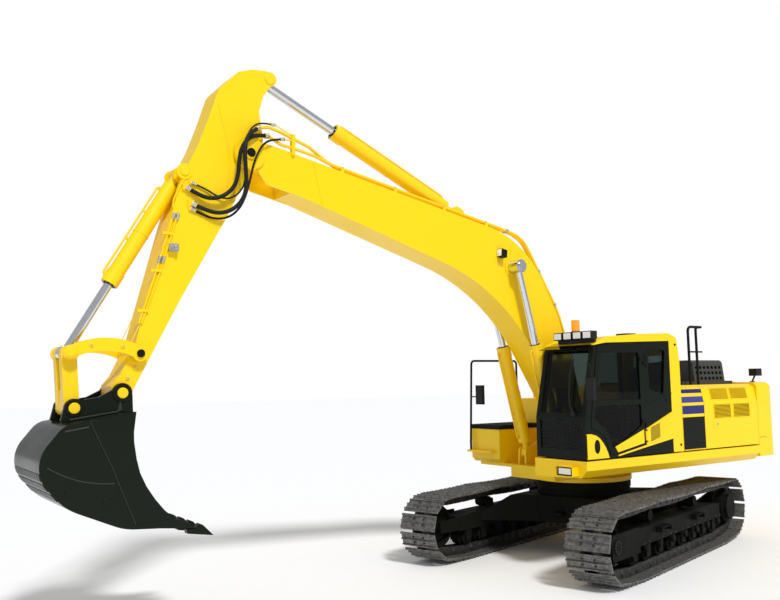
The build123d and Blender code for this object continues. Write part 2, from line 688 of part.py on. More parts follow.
# Engine hood with its pierced guard
HOOD_REAR = DECK_REAR + 10
HOOD_SEAT = HOUSE_TOP + 0.3
GUARD = ((-2250, -1490), (250, 990))
with BuildPart() as hood:
    block((HOOD_REAR, HOOD_FRONT - PANEL_GAP), (HOOD_RIGHT, HOOD_LEFT), (HOOD_SEAT, HOOD_SEAT + HOOD_PLATE))
    block(
        (HOOD_REAR + 20, HOOD_FRONT - 30), (HOOD_RIGHT + 20, HOOD_LEFT - 20),
        (HOUSE_TOP, HOUSE_TOP + HOOD_PLATE - 15), mode=Mode.SUBTRACT,
    )
    guard_section = [
        (GUARD[1][0], HOUSE_TOP + HOOD_PLATE), (GUARD[1][1], HOUSE_TOP + HOOD_PLATE),
        (GUARD[1][1] - 40, GUARD_TOP, 70), (GUARD[1][0] + 40, GUARD_TOP, 70),
    ]
    beam(guard_section, *GUARD[0])
    inner_section = [
        (GUARD[1][0] + 12, HOUSE_TOP), (GUARD[1][1] - 12, HOUSE_TOP),
        (GUARD[1][1] - 52, GUARD_TOP - 12, 60), (GUARD[1][0] + 52, GUARD_TOP - 12, 60),
    ]
    beam(inner_section, GUARD[0][0] + 12, GUARD[0][1] - 12, mode=Mode.SUBTRACT)
    for column in range(7):
        x = GUARD[0][0] + 85 + column * 98
        for row in range(3):
            z = HOUSE_TOP + 95 + row * 85
            block(
                (x - 30, x + 30), (GUARD[1][0] - 20, GUARD[1][1] + 20), (z - 22, z + 22),
                mode=Mode.SUBTRACT,
            )
        for row in range(4):
            y = GUARD[1][0] + 160 + row * 140
            block((x - 30, x + 30), (y - 40, y + 40), (GUARD_TOP - 60, GUARD_TOP + 20), mode=Mode.SUBTRACT)
finish(hood, "engine_hood")

with BuildPart() as air_box:
    block((HOOD_FRONT, SEAM_FRONT - 60), (620, 1010), (HOUSE_TOP, 2500))
    block((HOOD_FRONT, HOOD_FRONT + 330), (640, 1000), (2495, 2780))
finish(air_box, "intake_box")

# Tanks and the front right box with its step
with BuildPart() as tanks:
    layer(
        [(TANK_REAR + 5, -DECK_HALF, 40), (TANK_REAR + 5, TANK_IN), (-360, TANK_IN), (-360, -DECK_HALF)],
        DECK_TOP, 2330,
    )
    layer(
        [
            (TANK_REAR + 5 + SHEET, -DECK_HALF + SHEET, 34), (TANK_REAR + 5 + SHEET, TANK_IN - SHEET),
            (-360 - SHEET, TANK_IN - SHEET), (-360 - SHEET, -DECK_HALF + SHEET),
        ],
        DECK_TOP + SHEET, 2330 - SHEET, mode=Mode.SUBTRACT,
    )
    layer([(-355, -DECK_HALF), (-355, TANK_IN), (90, TANK_IN), (90, -DECK_HALF, 60)], DECK_TOP, 2250)
    layer(
        [
            (-355 + SHEET, -DECK_HALF + SHEET), (-355 + SHEET, TANK_IN - SHEET),
            (90 - SHEET, TANK_IN - SHEET), (90 - SHEET, -DECK_HALF + SHEET, 54),
        ],
        DECK_TOP + SHEET, 2250 - SHEET, mode=Mode.SUBTRACT,
    )
    for centre, top in (((-620, -1000), 2330), ((-140, -1000), 2250)):
        round_bar((*centre, top - SHEET), (*centre, top + 40), 60)
        round_bar((*centre, top - SHEET - 5), (*centre, top + 45), 50, Mode.SUBTRACT)
finish(tanks, "tanks")

with BuildPart() as front_box:
    shell = [
        (BOX_REAR, DECK_STEP), (BOX_FRONT - 60, DECK_STEP), (BOX_FRONT, DECK_STEP + 60),
        (BOX_FRONT, 1800), (BOX_REAR, 1800),
    ]
    slab(shell, -DECK_HALF, -750)
    slab(shell, -DECK_HALF + PLATE, -750 - PLATE, mode=Mode.SUBTRACT, inset=PLATE)
    block(
        (BOX_REAR + PLATE, BOX_FRONT - PLATE), (-DECK_HALF + PLATE, -750 - PLATE), (1700, 1810),
        mode=Mode.SUBTRACT,
    )
    block((BOX_FRONT, BOX_FRONT + 100), (-DECK_HALF, -860), (1440, 1470))
finish(front_box, "front_box")

with BuildPart() as box_lid:
    lid = [(BOX_REAR - 8, 1800.3), (BOX_FRONT + 8, 1800.3), (BOX_FRONT - 10, 1865, 30), (BOX_REAR - 8, 1865)]
    slab(lid, -DECK_HALF - 8, -742)
finish(box_lid, "front_box_lid")

# Cab: black frame, yellow roof with rear posts, glass, door, seat and controls
cab_side = [
    (
        DECK_FRONT, CAB_FLOOR,
    ), (
        DECK_FRONT - 5, 2040,
    ), (1180, 3010), (955, 3110), (240, 3160), (-360, 3180, 60), (-535, 3120, 80), (CAB_REAR, 2800), (
        CAB_REAR, CAB_FLOOR,
    ),
]
roof_zone = [
    (CAB_REAR - 50, CAB_FLOOR - 10), (-360, CAB_FLOOR - 10), (-360, 3070), (955, 3030), (1250, 2985),
    (1250, 3300), (CAB_REAR - 50, 3300),
]
door_hole = [
    (DOOR_REAR, 1640), (800, 1540), (940, 1540), (1060, 1800), (DOOR_FRONT, 1900),
    (DOOR_FRONT - 10, 2100), (1130, 3000), (DOOR_REAR, 3040),
]
side_window = [(110, 2400, 30), (-190, 2290, 60), (-260, 2940, 40), (110, 2950, 30)]
right_window = [(1250, 2080, 40), (1080, 2900, 40), (-300, 2950, 40), (-300, 2080, 40)]


def cab_shell():
    slab(cab_side, CAB_IN, CAB_OUT)
    slab(cab_side, CAB_IN + CAB_WALL, CAB_OUT - CAB_WALL, mode=Mode.SUBTRACT, inset=CAB_WALL)
    slab(door_hole, CAB_OUT - CAB_WALL - 5, CAB_OUT + 5, mode=Mode.SUBTRACT)
    slab(side_window, CAB_OUT - CAB_WALL - 5, CAB_OUT + 5, mode=Mode.SUBTRACT)
    slab(right_window, CAB_IN - 5, CAB_IN + CAB_WALL + 5, mode=Mode.SUBTRACT)
    slab(
        [(1300, 2100), (1450, 2100), (1450, 2930), (1140, 2930)], CAB_IN + 75, CAB_OUT - 75,
        mode=Mode.SUBTRACT,
    )
    block((1300, 1450), (CAB_IN + 75, CAB_OUT - 75), (1620, 2020), mode=Mode.SUBTRACT)
    block((CAB_REAR - 10, CAB_REAR + 60), (CAB_IN + 90, CAB_OUT - 90), (2150, 2900), mode=Mode.SUBTRACT)


with BuildPart() as cab_frame:
    cab_shell()
    slab(roof_zone, CAB_IN - 10, CAB_OUT + 10, mode=Mode.SUBTRACT)
    for x in (-250, 1250):
        for y in (CAB_IN + 90, CAB_OUT - 90):
            round_bar((x, y, DECK_TOP), (x, y, CAB_FLOOR + 5), 55)
    for z in DOOR_HINGES:
        block((DOOR_REAR - 22, DOOR_REAR + 2), (CAB_OUT - 5, HINGE_Y), (z - HINGE_HALF, z - RUNNING_GAP))
        round_bar((HINGE_X, HINGE_Y, z - HINGE_HALF), (HINGE_X, HINGE_Y, z - RUNNING_GAP), HINGE_RADIUS)
finish(cab_frame, "cab_frame")

with BuildPart() as cab_roof:
    cab_shell()
    slab(roof_zone, CAB_IN - 10, CAB_OUT + 10, mode=Mode.INTERSECT)
finish(cab_roof, "cab_roof")

with BuildPart() as cab_glass:
    slab([(1371, 2101), (1363, 2101), (1178, 2929), (1186, 2929)], CAB_IN + 75.3, CAB_OUT - 75.3)
    block((1374, 1382), (CAB_IN + 75.3, CAB_OUT - 75.3), (1620.3, 2019.7))
    slab(side_window, CAB_OUT - 30, CAB_OUT - 30 + GLASS, inset=0.3)
    slab(right_window, CAB_IN + 20, CAB_IN + 20 + GLASS, inset=0.3)
    block((CAB_REAR + 20, CAB_REAR + 20 + GLASS), (CAB_IN + 90.3, CAB_OUT - 90.3), (2150.3, 2899.7))
finish(cab_glass, "cab_glass")

DOOR_IN = CAB_OUT - 45
DOOR_OUT = CAB_OUT + 5
door_window = [(DOOR_REAR + 70, 2250, 40), (DOOR_REAR + 75, 2910, 60), (1060, 2880, 60), (1180, 2250, 40)]
door_low = [
    (DOOR_REAR + 70, 1900, 40), (DOOR_REAR + 70, 2190, 40), (1190, 2190, 40), (1220, 2020),
    (1000, 1860, 40), (900, 1640, 40), (800, 1640),
]
with BuildPart() as cab_door:
    slab(door_hole, DOOR_IN, DOOR_OUT, inset=DOOR_GAP)
    slab(door_window, DOOR_IN - 5, DOOR_OUT + 5, mode=Mode.SUBTRACT)
    slab(door_low, DOOR_IN - 5, DOOR_OUT + 5, mode=Mode.SUBTRACT)
    for z in DOOR_HINGES:
        block((HINGE_X, DOOR_REAR + 60), (DOOR_OUT - 3, HINGE_Y + 5), (z, z + HINGE_HALF))
        round_bar((HINGE_X, HINGE_Y, z), (HINGE_X, HINGE_Y, z + HINGE_HALF), HINGE_RADIUS)
finish(cab_door, "cab_door")

with BuildPart() as door_glass:
    slab(door_window, CAB_OUT - 20, CAB_OUT - 20 + GLASS, inset=0.3)
    slab(door_low, CAB_OUT - 20, CAB_OUT - 20 + GLASS, inset=0.3)
finish(door_glass, "door_glass")

with BuildPart() as cab_panels:
    slab(
        [(DOOR_REAR - 8, 1640), (DOOR_REAR - 8, 1850), (-355, 2070), (-355, 1740)], CAB_OUT + 0.3,
        CAB_OUT + 18,
    )
    slab(
        [(1080, 1505), (DECK_FRONT - 4, 1505), (DECK_FRONT - 4, 1830), (1290, 1830, 60)],
        CAB_OUT + 0.3, CAB_OUT + 18,
    )
finish(cab_panels, "cab_side_panels")

with BuildPart() as seat:
    slab(
        [
            (-120, 2000, 40), (420, 2010, 60), (420, 2120, 50), (-60, 2110), (-200, 2660, 50),
            (-320, 2650, 40), (-180, 2050),
        ],
        770, 1150,
    )
    slab([(-170, 2700, 30), (-260, 2700, 30), (-300, 2880, 30), (-210, 2890, 30)], 850, 1070)
    slab([(-190, 2600), (-230, 2600), (-260, 2750), (-220, 2750)], 920, 1000)
    block((-100, 350), (800, 1120), (1900, 2010))
    block((-50, 300), (860, 1060), (CAB_FLOOR + CAB_WALL, 1905))
finish(seat, "seat")

with BuildPart() as controls:
    for low, high in ((640, 745), (1175, 1280)):
        block((-250, 520), (low, high), (CAB_FLOOR + CAB_WALL, 2180))
        round_bar((450, (low + high) / 2, 2175), (470, (low + high) / 2, 2330), 25)
    for y in (870, 1040):
        round_bar((950, y, CAB_FLOOR + CAB_WALL + 4), (870, y, 1990), 14)
        block((880, 1060), (y - 50, y + 50), (CAB_FLOOR + CAB_WALL, CAB_FLOOR + CAB_WALL + 25))
    block((1010, 1060), (570, 640), (CAB_FLOOR + CAB_WALL, 2250))
    block((1000, 1040), (560, 800), (2250, 2420))
finish(controls, "cab_controls")

# Lamps, beacon, mirrors and rails
with BuildPart() as roof_lamps:
    beam([(740, 3030), (1400, 3030), (1400, 3086), (740, 3086)], 1110, 1160)
    slab([(1100, 3000), (1180, 3010.3), (955, 3110.3), (900, 3080)], 700, 1410, mode=Mode.SUBTRACT)
    for number in range(4):
        y = 800 + number * 180
        slab([(1110, 3086), (1215, 3086, 20), (1215, 3176, 20), (1120, 3176, 20)], y - 70, y + 70)
finish(roof_lamps, "roof_lamps")

BEACON = (700.0, 640.0)
with BuildPart() as beacon:
    round_bar((*BEACON, 3131.2), (*BEACON, 3240), 45)
    round_bar((*BEACON, 3239), (*BEACON, 3390), 60)
finish(beacon, "beacon")

with BuildPart() as deck_lamp:
    block((DECK_FRONT, DECK_FRONT + 90), (980, 1240), (1290, 1400))
finish(deck_lamp, "deck_lamp")


def rail(points, radius, bend):
    """A bent tube through points."""
    with BuildLine() as route:
        FilletPolyline(*points, radius=bend)
    with BuildSketch(Plane(points[0], z_dir=Vector(*points[1]) - Vector(*points[0]))) as tube:
        Circle(radius)
    sweep(tube.sketch, path=route.wire())


with BuildPart() as front_rail:
    rail(
        [
            (BOX_FRONT + 60, -1370, 1470), (BOX_FRONT + 60, -1370, 1600),
            (BOX_FRONT + 10, -1370, 2870), (50, -1370, 2870), (50, -1370, 2250),
        ],
        17, 60,
    )
finish(front_rail, "front_handrail")

with BuildPart() as right_mirror:
    round_bar((BOX_FRONT + 32, -1352.5, 2300), (BOX_FRONT + 32, -1200, 2300), 10)
    block((BOX_FRONT + 20, BOX_FRONT + 70), (-1210, -1050), (2180, 2480))
finish(right_mirror, "right_mirror")

with BuildPart() as rear_rail:
    rail([(-1210, 1120, HOUSE_TOP), (-1210, 1120, 3310), (-1530, 1120, 3310)], 20, 70)
    rail([(-1400, 1120, HOUSE_TOP), (-1400, 1120, 3300), (-1500, 1120, 3310)], 20, 40)
finish(rear_rail, "rear_handrail")

with BuildPart() as rear_mirror:
    round_bar((-2980, 1000, TAIL_TOP + 11), (-3060, 1000, 2560), 14)
    block((-3010, -2950), (970, 1030), (TAIL_TOP, TAIL_TOP + 14))
    block((-3150, -3000), (930, 1070), (2550, 2670))
finish(rear_mirror, "rear_mirror")

with BuildPart() as cab_mirror:
    round_bar((1270, CAB_OUT + 6.4, 2620), (1420, CAB_OUT + 120, 2500), 10)
    block((1390, 1430), (CAB_OUT + 60, CAB_OUT + 200), (2280, 2560))
finish(cab_mirror, "cab_mirror")

# Hoses across the arm joint, each from its fitting on the boom to its fitting on the arm
HOSES = {
    "hose_outer": (24.0, [
        (
            5505, 279, 5541,
        ), (5620, 358, 5460), (5700, 412, 5330), (5715, 432, 5170), (5700, 420, 5010), (5680, 402, 4850),
        (5690, 372, 4695), (5775, 335, 4565), (5915, 300, 4490), (6070, 265, 4495), (6210, 236, 4558),
    ]),
    "hose_inner": (24.0, [
        (
            5388, 254, 5485,
        ), (5525, 295, 5465), (5645, 330, 5385), (5720, 335, 5260), (5745, 335, 5115), (5750, 330, 4965),
        (5785, 315, 4820), (5880, 300, 4710), (6010, 280, 4650), (6155, 255, 4660), (6281, 236, 4733),
    ]),
    "hose_thin": (13.0, [
        (
            5190, 266, 5468,
        ), (5325, 288, 5440), (5435, 304, 5360), (5505, 318, 5240), (5555, 315, 5110), (5585, 315, 4975),
        (
            5615, 305, 4835,
        ), (5650, 290, 4700), (5710, 270, 4570), (5810, 250, 4470), (5945, 230, 4430), (6085, 220, 4445),
        (6215, 220, 4500),
    ]),
    "hose_grease": (10.0, [
        (
            5295, 232, 5645,
        ), (5418, 240, 5645), (5530, 254, 5588), (5608, 274, 5475), (5656, 287, 5345), (5662, 291, 5215),
        (
            5646, 284, 5085,
        ), (5635, 275, 4955), (5660, 265, 4830), (5735, 250, 4725), (5850, 240, 4670), (5975, 230, 4695),
        (6090, 225, 4760), (6210, 220, 4800),
    ]),
}
FITTING_WALL = 7.0
FITTING_LENGTH = 62.0
BEND_SHARE = 0.45
LINE_RADIUS = 20.0
LINE_LIFT = 55.0
LINE_OUTER_Y = 190.0
LINE_INNER_Y = 130.0
LINE_OUTSIDE = ARM_HALF + LINE_RADIUS + 12


def bends(points):
    """A radius for each corner of a route: its arc takes a share of the shorter run beside it."""
    radii = []
    for before, here, after in zip(points, points[1:], points[2:]):
        into = Vector(*here) - Vector(*before)
        out = Vector(*after) - Vector(*here)
        half_turn = radians(into.get_angle(out)) / 2
        radii.append(BEND_SHARE * min(into.length, out.length) / tan(half_turn))
    return radii


def tube(points, radius, widest=None):
    """A round tube of straight runs joined by arcs."""
    radii = [min(bend, widest) if widest else bend for bend in bends(points)]
    with BuildLine() as route:
        FilletPolyline(*points, radius=radii)
    with BuildSketch(Plane(points[0], z_dir=Vector(*points[1]) - Vector(*points[0]))) as section:
        Circle(radius)
    sweep(section.sketch, path=route.wire())
    return radii, route.wire().length


def fitting(end, inner, radius):
    """The fitting behind a hose's end, in line with its last run; returns its far end."""
    run = (Vector(*end) - Vector(*inner)).normalized()
    back = Vector(*end) + run * FITTING_LENGTH
    round_bar(end, back, radius + FITTING_WALL)
    return back


def boom_top(x):
    """The height of the boom's straight top plate at x."""
    rear, front = (1258, 4574), (4908, 5312)
    return rear[1] + (x - rear[0]) * (front[1] - rear[1]) / (front[0] - rear[0])


for name, (radius, points) in HOSES.items():
    with BuildPart() as hose:
        radii, length = tube(points, radius)
    print(name, "length", round(length), "bend radii", [round(bend) for bend in radii])
    finish(hose, name)

# Boom: a box of plates with a foot boss, a fork at the tip and hard lines along its top
boom_box = [
    (505, 1960), (1698, 3823, 3000), (4911, 4815), (5030, 4840), (5085, 5160), (5040, 5341), (4908, 5312),
    (1258, 4574, 1500), (640, 3500, 1000), (168, 2045),
]
fork = [(4820, 4790), (5360, 4909), (5480, 5075), (5540, 5430), (5043, 5343), (4820, 5290)]
with BuildPart() as boom:
    slab(boom_box, -BOOM_HALF, BOOM_HALF)
    slab(boom_box, -BOOM_HALF + BOOM_PLATE, BOOM_HALF - BOOM_PLATE, mode=Mode.SUBTRACT, inset=BOOM_PLATE)
    drum(BOOM_FOOT, 170, -FOOT_HALF, FOOT_HALF)
    drum(BOOM_ROD_PIN, 120, -BOOM_HALF - 5, BOOM_HALF + 5)
    for hand in (-1, 1):
        low, high = sorted((hand * FORK_IN, hand * BOOM_HALF))
        slab(fork, low, high)
        drum(ARM_PIVOT, 195, *sorted((hand * FORK_IN, hand * FORK_OUT)))
        drum(ARM_PIVOT, 75, *sorted((hand * (FORK_OUT - 1), hand * (FORK_OUT + 20))))
        low, high = sorted((hand * (EYE_HALF + SIDE_GAP), hand * (EYE_HALF + SIDE_GAP + PLATE)))
        slab([(2150, 4740), (2560, 4825), (2470, 4945, 50), (2386, 4985, 60), (2290, 4950, 60)], low, high)
        drum(
            ARM_TUBE_FOOT, 60,
            *sorted((hand * (EYE_HALF + PIN_GAP), hand * (EYE_HALF + SIDE_GAP + PLATE + 15))),
        )
    starts = {name: fitting(points[0], points[1], radius) for name, (radius, points) in HOSES.items()}
    rear_x, rise_x = 1900, 4350
    outer_end, inner_end = (tuple(starts[name]) for name in ("hose_inner", "hose_outer"))
    outer_line = [
        (rear_x, LINE_OUTER_Y, boom_top(rear_x) + LINE_LIFT), (4450, LINE_OUTER_Y, boom_top(4450) + LINE_LIFT),
        (4700, LINE_OUTSIDE, 5338), (4985, LINE_OUTSIDE + 2, 5392), (5170, LINE_OUTSIDE, 5416), outer_end,
    ]
    inner_line = [
        (rear_x, LINE_INNER_Y, boom_top(rear_x) + LINE_LIFT), (rise_x, LINE_INNER_Y, boom_top(rise_x) + LINE_LIFT),
        (4560, LINE_INNER_Y + 30, 5345), (4780, LINE_OUTSIDE, 5440), (5190, LINE_OUTSIDE + 2, 5575),
        (5330, LINE_OUTSIDE + 4, 5604), inner_end,
    ]
    tube(outer_line, LINE_RADIUS, 200)
    tube(inner_line, LINE_RADIUS, 90)
    bracket_x = (4985, 5030)
    bracket_y = (ARM_HALF + SIDE_GAP, LINE_OUTSIDE + LINE_RADIUS + 12)
    block(bracket_x, bracket_y, (5300, 5560))
    round_bar(starts["hose_thin"], (bracket_x[0] + 15, LINE_OUTSIDE + 20, 5482), 10)
    round_bar(starts["hose_grease"], (bracket_x[0] + 15, LINE_OUTSIDE, 5545), 8)
    for x in (1960, 2700, 3500, 4300):
        block(
            (x - 22, x + 22), (LINE_INNER_Y - 32, LINE_OUTER_Y + 32),
            (boom_top(x) - 15, boom_top(x) + LINE_LIFT + 5),
        )
finish(boom, "boom")

with BuildPart() as boom_lamp:
    slab([(1700, 4270), (1800, 4290), (1790, 4400), (1690, 4380)], BOOM_HALF + 0.3, BOOM_HALF + 110)
finish(boom_lamp, "boom_lamp")


def ram_tube(foot, pin, y, radius, rod, gland, eye, eye_half):
    """A cylinder tube from its foot eye to its gland, bored for the rod."""
    base = along(foot, pin, eye + NECK)
    head = along(foot, pin, gland)
    collar = along(foot, pin, gland - GLAND_LENGTH)
    floor = along(foot, pin, eye + NECK + 30)
    drum(foot, eye, y - eye_half, y + eye_half)
    block_half = min(eye_half, radius) - 5
    round_bar((foot[0], y, foot[1]), (base[0], y, base[1]), block_half)
    round_bar((base[0], y, base[1]), (head[0], y, head[1]), radius)
    round_bar((collar[0], y, collar[1]), (head[0], y, head[1]), radius + GLAND_LIP)
    inner = along(foot, pin, gland - GLAND_LENGTH + 20)
    past = along(foot, pin, gland + 5)
    round_bar((floor[0], y, floor[1]), (inner[0], y, inner[1]), radius - TUBE_WALL, mode=Mode.SUBTRACT)
    round_bar((floor[0], y, floor[1]), (past[0], y, past[1]), rod + ROD_GAP, mode=Mode.SUBTRACT)


def ram_rod(foot, pin, y, rod, inside, eye, eye_half):
    """A piston rod from inside its tube to its eye."""
    start = along(foot, pin, inside)
    end = along(foot, pin, hypot(pin[0] - foot[0], pin[1] - foot[1]) - eye + 12)
    round_bar((start[0], y, start[1]), (end[0], y, end[1]), rod)
    drum(pin, eye, y - eye_half, y + eye_half)


with BuildPart() as boom_tubes:
    for hand in (-1, 1):
        ram_tube(
            BOOM_TUBE_FOOT, BOOM_ROD_PIN, hand * BOOM_CYLINDER_Y, BOOM_TUBE, BOOM_ROD, BOOM_GLAND, 85,
            EYE_HALF - 10,
        )
finish(boom_tubes, "boom_cylinder_tubes")

with BuildPart() as boom_rods:
    for hand in (-1, 1):
        ram_rod(BOOM_TUBE_FOOT, BOOM_ROD_PIN, hand * BOOM_CYLINDER_Y, BOOM_ROD, 1150, 95, 90)
        drum(BOOM_ROD_PIN, 60, *sorted((hand * (BOOM_CYLINDER_Y + 80), hand * (BOOM_CYLINDER_Y + 110))))
finish(boom_rods, "boom_cylinder_rods")

with BuildPart() as arm_tube:
    ram_tube(ARM_TUBE_FOOT, ARM_ROD_PIN, 0, ARM_TUBE, ARM_ROD, ARM_GLAND, 85, EYE_HALF)
finish(arm_tube, "arm_cylinder_tube")

with BuildPart() as arm_rod:
    ram_rod(ARM_TUBE_FOOT, ARM_ROD_PIN, 0, ARM_ROD, 1180, 90, EYE_HALF)
finish(arm_rod, "arm_cylinder_rod")

with BuildPart() as bucket_tube:
    ram_tube(BUCKET_TUBE_FOOT, ROD_PIN, 0, BUCKET_TUBE, BUCKET_ROD, BUCKET_GLAND, 80, EYE_HALF)
finish(bucket_tube, "bucket_cylinder_tube")

with BuildPart() as bucket_rod:
    ram_rod(BUCKET_TUBE_FOOT, ROD_PIN, 0, BUCKET_ROD, 912, 80, EYE_HALF)
finish(bucket_rod, "bucket_cylinder_rod")

# Arm: a box of plates with lugs for both of its cylinders
ROD_SLOT_END = 5490.0
arm_outline = [
    (5264, 6150), (5290, 6310, 70), (5525, 6290, 60), (5700, 6225, 80), (
        5940, 5975, 200,
    ), (6069, 5579), (6185, 5268), (6360, 4900),
    (
        6859, 2991,
    ), (
        7010, 2675,
    ), (
        7100, 2560,
    ), (7060, 2400), (6975, 2385), (6890, 2430), (6872, 2517), (6375, 3491), (5820, 4496), (5549, 5061), (
        5400, 5251, 60,
    ),
    (5385, 5480, 150), (5435, 5785, 100), (5380, 5990),
]
with BuildPart() as arm:
    slab(arm_outline, -ARM_HALF, ARM_HALF)
    cavity = [
        (5440, 5480, 100), (5480, 5785, 80), (
            ROD_SLOT_END + 50, 6010, 60,
        ), (ROD_SLOT_END + 50, 6220, 20), (5685, 6180), (5905, 5945), (6035, 5565),
        (
            6150, 5250,
        ), (6230, 4990), (6265, 4760), (6480, 4320), (6780, 3060), (6745, 3005), (6670, 3010), (6400, 3505),
        (5850, 4510), (5585, 5060), (5450, 5260),
    ]
    slab(cavity, -ARM_HALF + ARM_PLATE, ARM_HALF - ARM_PLATE, mode=Mode.SUBTRACT)
    rod_slot = [(5100, 6060), (ROD_SLOT_END, 6060, 60), (ROD_SLOT_END, 6500), (5100, 6500)]
    slab(rod_slot, -EYE_HALF - SIDE_GAP, EYE_HALF + SIDE_GAP, mode=Mode.SUBTRACT)
    drum(BUCKET_TUBE_FOOT, 135, -EYE_HALF - SIDE_GAP, EYE_HALF + SIDE_GAP, mode=Mode.SUBTRACT)
    slab(
        [(6300, 5000), (6450, 5000), (6620, 4500), (6510, 4350), (6300, 4760)], -BUCKET_TUBE - 20,
        BUCKET_TUBE + 20, mode=Mode.SUBTRACT,
    )
    drum(LEVER_PIN, 85, -ARM_HALF - 60, ARM_HALF + 60)
    drum(ARM_PIVOT, 140, -FORK_IN + PIN_GAP, FORK_IN - PIN_GAP)
    drum(BUCKET_PIN, 95, -ARM_HALF, ARM_HALF)
    for hand in (-1, 1):
        low, high = sorted((hand * (EYE_HALF + SIDE_GAP), hand * (EYE_HALF + SIDE_GAP + PLATE)))
        drum(ARM_ROD_PIN, 85, *sorted((hand * (EYE_HALF + SIDE_GAP), hand * ARM_HALF)))
        slab(
            [(6150, 5270), (6300, 5040, 30), (6420, 4990, 50), (6430, 4880, 50), (6350, 4820), (6290, 4700)],
            low, high,
        )
        drum(
            BUCKET_TUBE_FOOT, 55,
            *sorted((hand * (EYE_HALF + PIN_GAP), hand * (EYE_HALF + SIDE_GAP + PLATE + 15))),
        )
    for radius, points in HOSES.values():
        back = fitting(points[-1], points[-2], radius)
        seat = radius + FITTING_WALL + 4
        block((back.X - seat, back.X + seat), (ARM_HALF - 1, back.Y + 4), (back.Z - seat, back.Z + seat))
finish(arm, "arm")

LEVER_IN = ARM_HALF + 60 + PIN_GAP
LEVER_OUT = LEVER_IN + LEVER_PLATE
with BuildPart() as levers:
    for hand in (-1, 1):
        low, high = sorted((hand * LEVER_IN, hand * LEVER_OUT))
        with BuildSketch(side(low)) as arch:
            with BuildLine():
                upper = ThreePointArc(
                    (ROD_PIN[0], ROD_PIN[1] + 75), (7180, 3060), (LEVER_PIN[0], LEVER_PIN[1] + 80),
                )
                Line(upper @ 1, (LEVER_PIN[0], LEVER_PIN[1] - 75))
                lower = ThreePointArc(
                    (LEVER_PIN[0], LEVER_PIN[1] - 75), (7170, 2925), (ROD_PIN[0], ROD_PIN[1] - 70),
                )
                Line(lower @ 1, upper @ 0)
            make_face()
        extrude(arch.sketch, amount=low - high)
        drum(LEVER_PIN, 82, low, high)
        drum(ROD_PIN, 78, low, high)
        drum(ROD_PIN, 62, *sorted((hand * (LINK_HALF + PIN_GAP), hand * LEVER_OUT)))
        drum(LEVER_PIN, 45, *sorted((hand * LEVER_OUT, hand * (LEVER_OUT + 12))))
finish(levers, "bucket_levers")

with BuildPart() as link:
    for hand in (-1, 1):
        low, high = sorted((hand * (EYE_HALF + 12), hand * LINK_HALF))
        slab(
            [
                (ROD_PIN[0] - 75, ROD_PIN[1]), (ROD_PIN[0] + 75, ROD_PIN[1]),
                (LINK_PIN[0] + 80, LINK_PIN[1]), (LINK_PIN[0] - 70, LINK_PIN[1]),
            ],
            low, high,
        )
        drum(ROD_PIN, 78, low, high)
    drum(LINK_PIN, 82, -ARM_HALF, ARM_HALF)
    slab(
        [
            (LINK_PIN[0] + 20, LINK_PIN[1]), (LINK_PIN[0] + 75, LINK_PIN[1]),
            (LINK_PIN[0] + 80, LINK_PIN[1] + 180), (LINK_PIN[0] + 25, LINK_PIN[1] + 180),
        ],
        -EYE_HALF - 20, EYE_HALF + 20,
    )
finish(link, "bucket_link")

# Bucket: rolled shell between side plates, with ears and teeth
EAR_IN = ARM_HALF + SIDE_GAP + 1
EAR_OUT = EAR_IN + EAR_PLATE
bucket_outline = [
    (6330, 1085), (6700, 1125), (
        7060, 1150, 600,
    ), (7620, 1400, 600), (7960, 1800, 330), (7650, 2190, 200), (7576, 2204), (6960, 2300),
    (6985, 2060, 200), (6930, 1640, 500), (6650, 1250, 500), (6400, 1150, 80),
]
bucket_room = [
    (6100, 1140), (6700, 1150), (
        7050, 1175, 580,
    ), (7602, 1420, 580), (7930, 1800, 305), (7640, 2166, 180), (7570, 2178), (6950, 2277), (6600, 2277),
]
with BuildPart() as bucket:
    slab(bucket_outline, -BUCKET_HALF, BUCKET_HALF)
    slab(bucket_room, -BUCKET_HALF + BUCKET_PLATE, BUCKET_HALF - BUCKET_PLATE, mode=Mode.SUBTRACT)
    ear = [
        (6885, 2290), (6895, 2496, 60), (7001, 2591, 60), (7100, 2520), (7240, 2450), (7380, 2430),
        (7478, 2442, 60), (7572, 2346, 60), (7600, 2225), (7560, 2190),
    ]
    for hand in (-1, 1):
        low, high = sorted((hand * EAR_IN, hand * EAR_OUT))
        slab(ear, low, high)
        drum(BUCKET_PIN, 103, low, high)
        drum(BUCKET_PIN, 85, *sorted((hand * (ARM_HALF + PIN_GAP), hand * EAR_IN)))
        drum(LINK_PIN, 78, *sorted((hand * (ARM_HALF + PIN_GAP), hand * EAR_IN)))
        drum(LINK_PIN, 95, low, high)
        drum(BUCKET_PIN, 70, *sorted((hand * EAR_OUT, hand * (EAR_OUT + 15))))
        drum(LINK_PIN, 70, *sorted((hand * EAR_OUT, hand * (EAR_OUT + 15))))
finish(bucket, "bucket")

with BuildPart() as teeth:
    for number in range(TOOTH_COUNT):
        y = -BUCKET_HALF + TOOTH_WIDTH / 2 + number * (2 * BUCKET_HALF - TOOTH_WIDTH) / (TOOTH_COUNT - 1)
        slab(
            [(6134, 994), (6420, 1040), (6420, 1085), (6329, 1084), (6290, 1130), (6250, 1110)],
            y - TOOTH_WIDTH / 2, y + TOOTH_WIDTH / 2,
        )
finish(teeth, "bucket_teeth")
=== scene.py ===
"""The looks of a crawler excavator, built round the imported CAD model.

Metres, in the row frame: the origin is on the ground under the swing centre, +X runs forward
along the boom, +Y to the operator's left and +Z up. The tracks are turned by TURN about +Z.
"""
import math

import bmesh
import bpy
from mathutils import Matrix, Vector


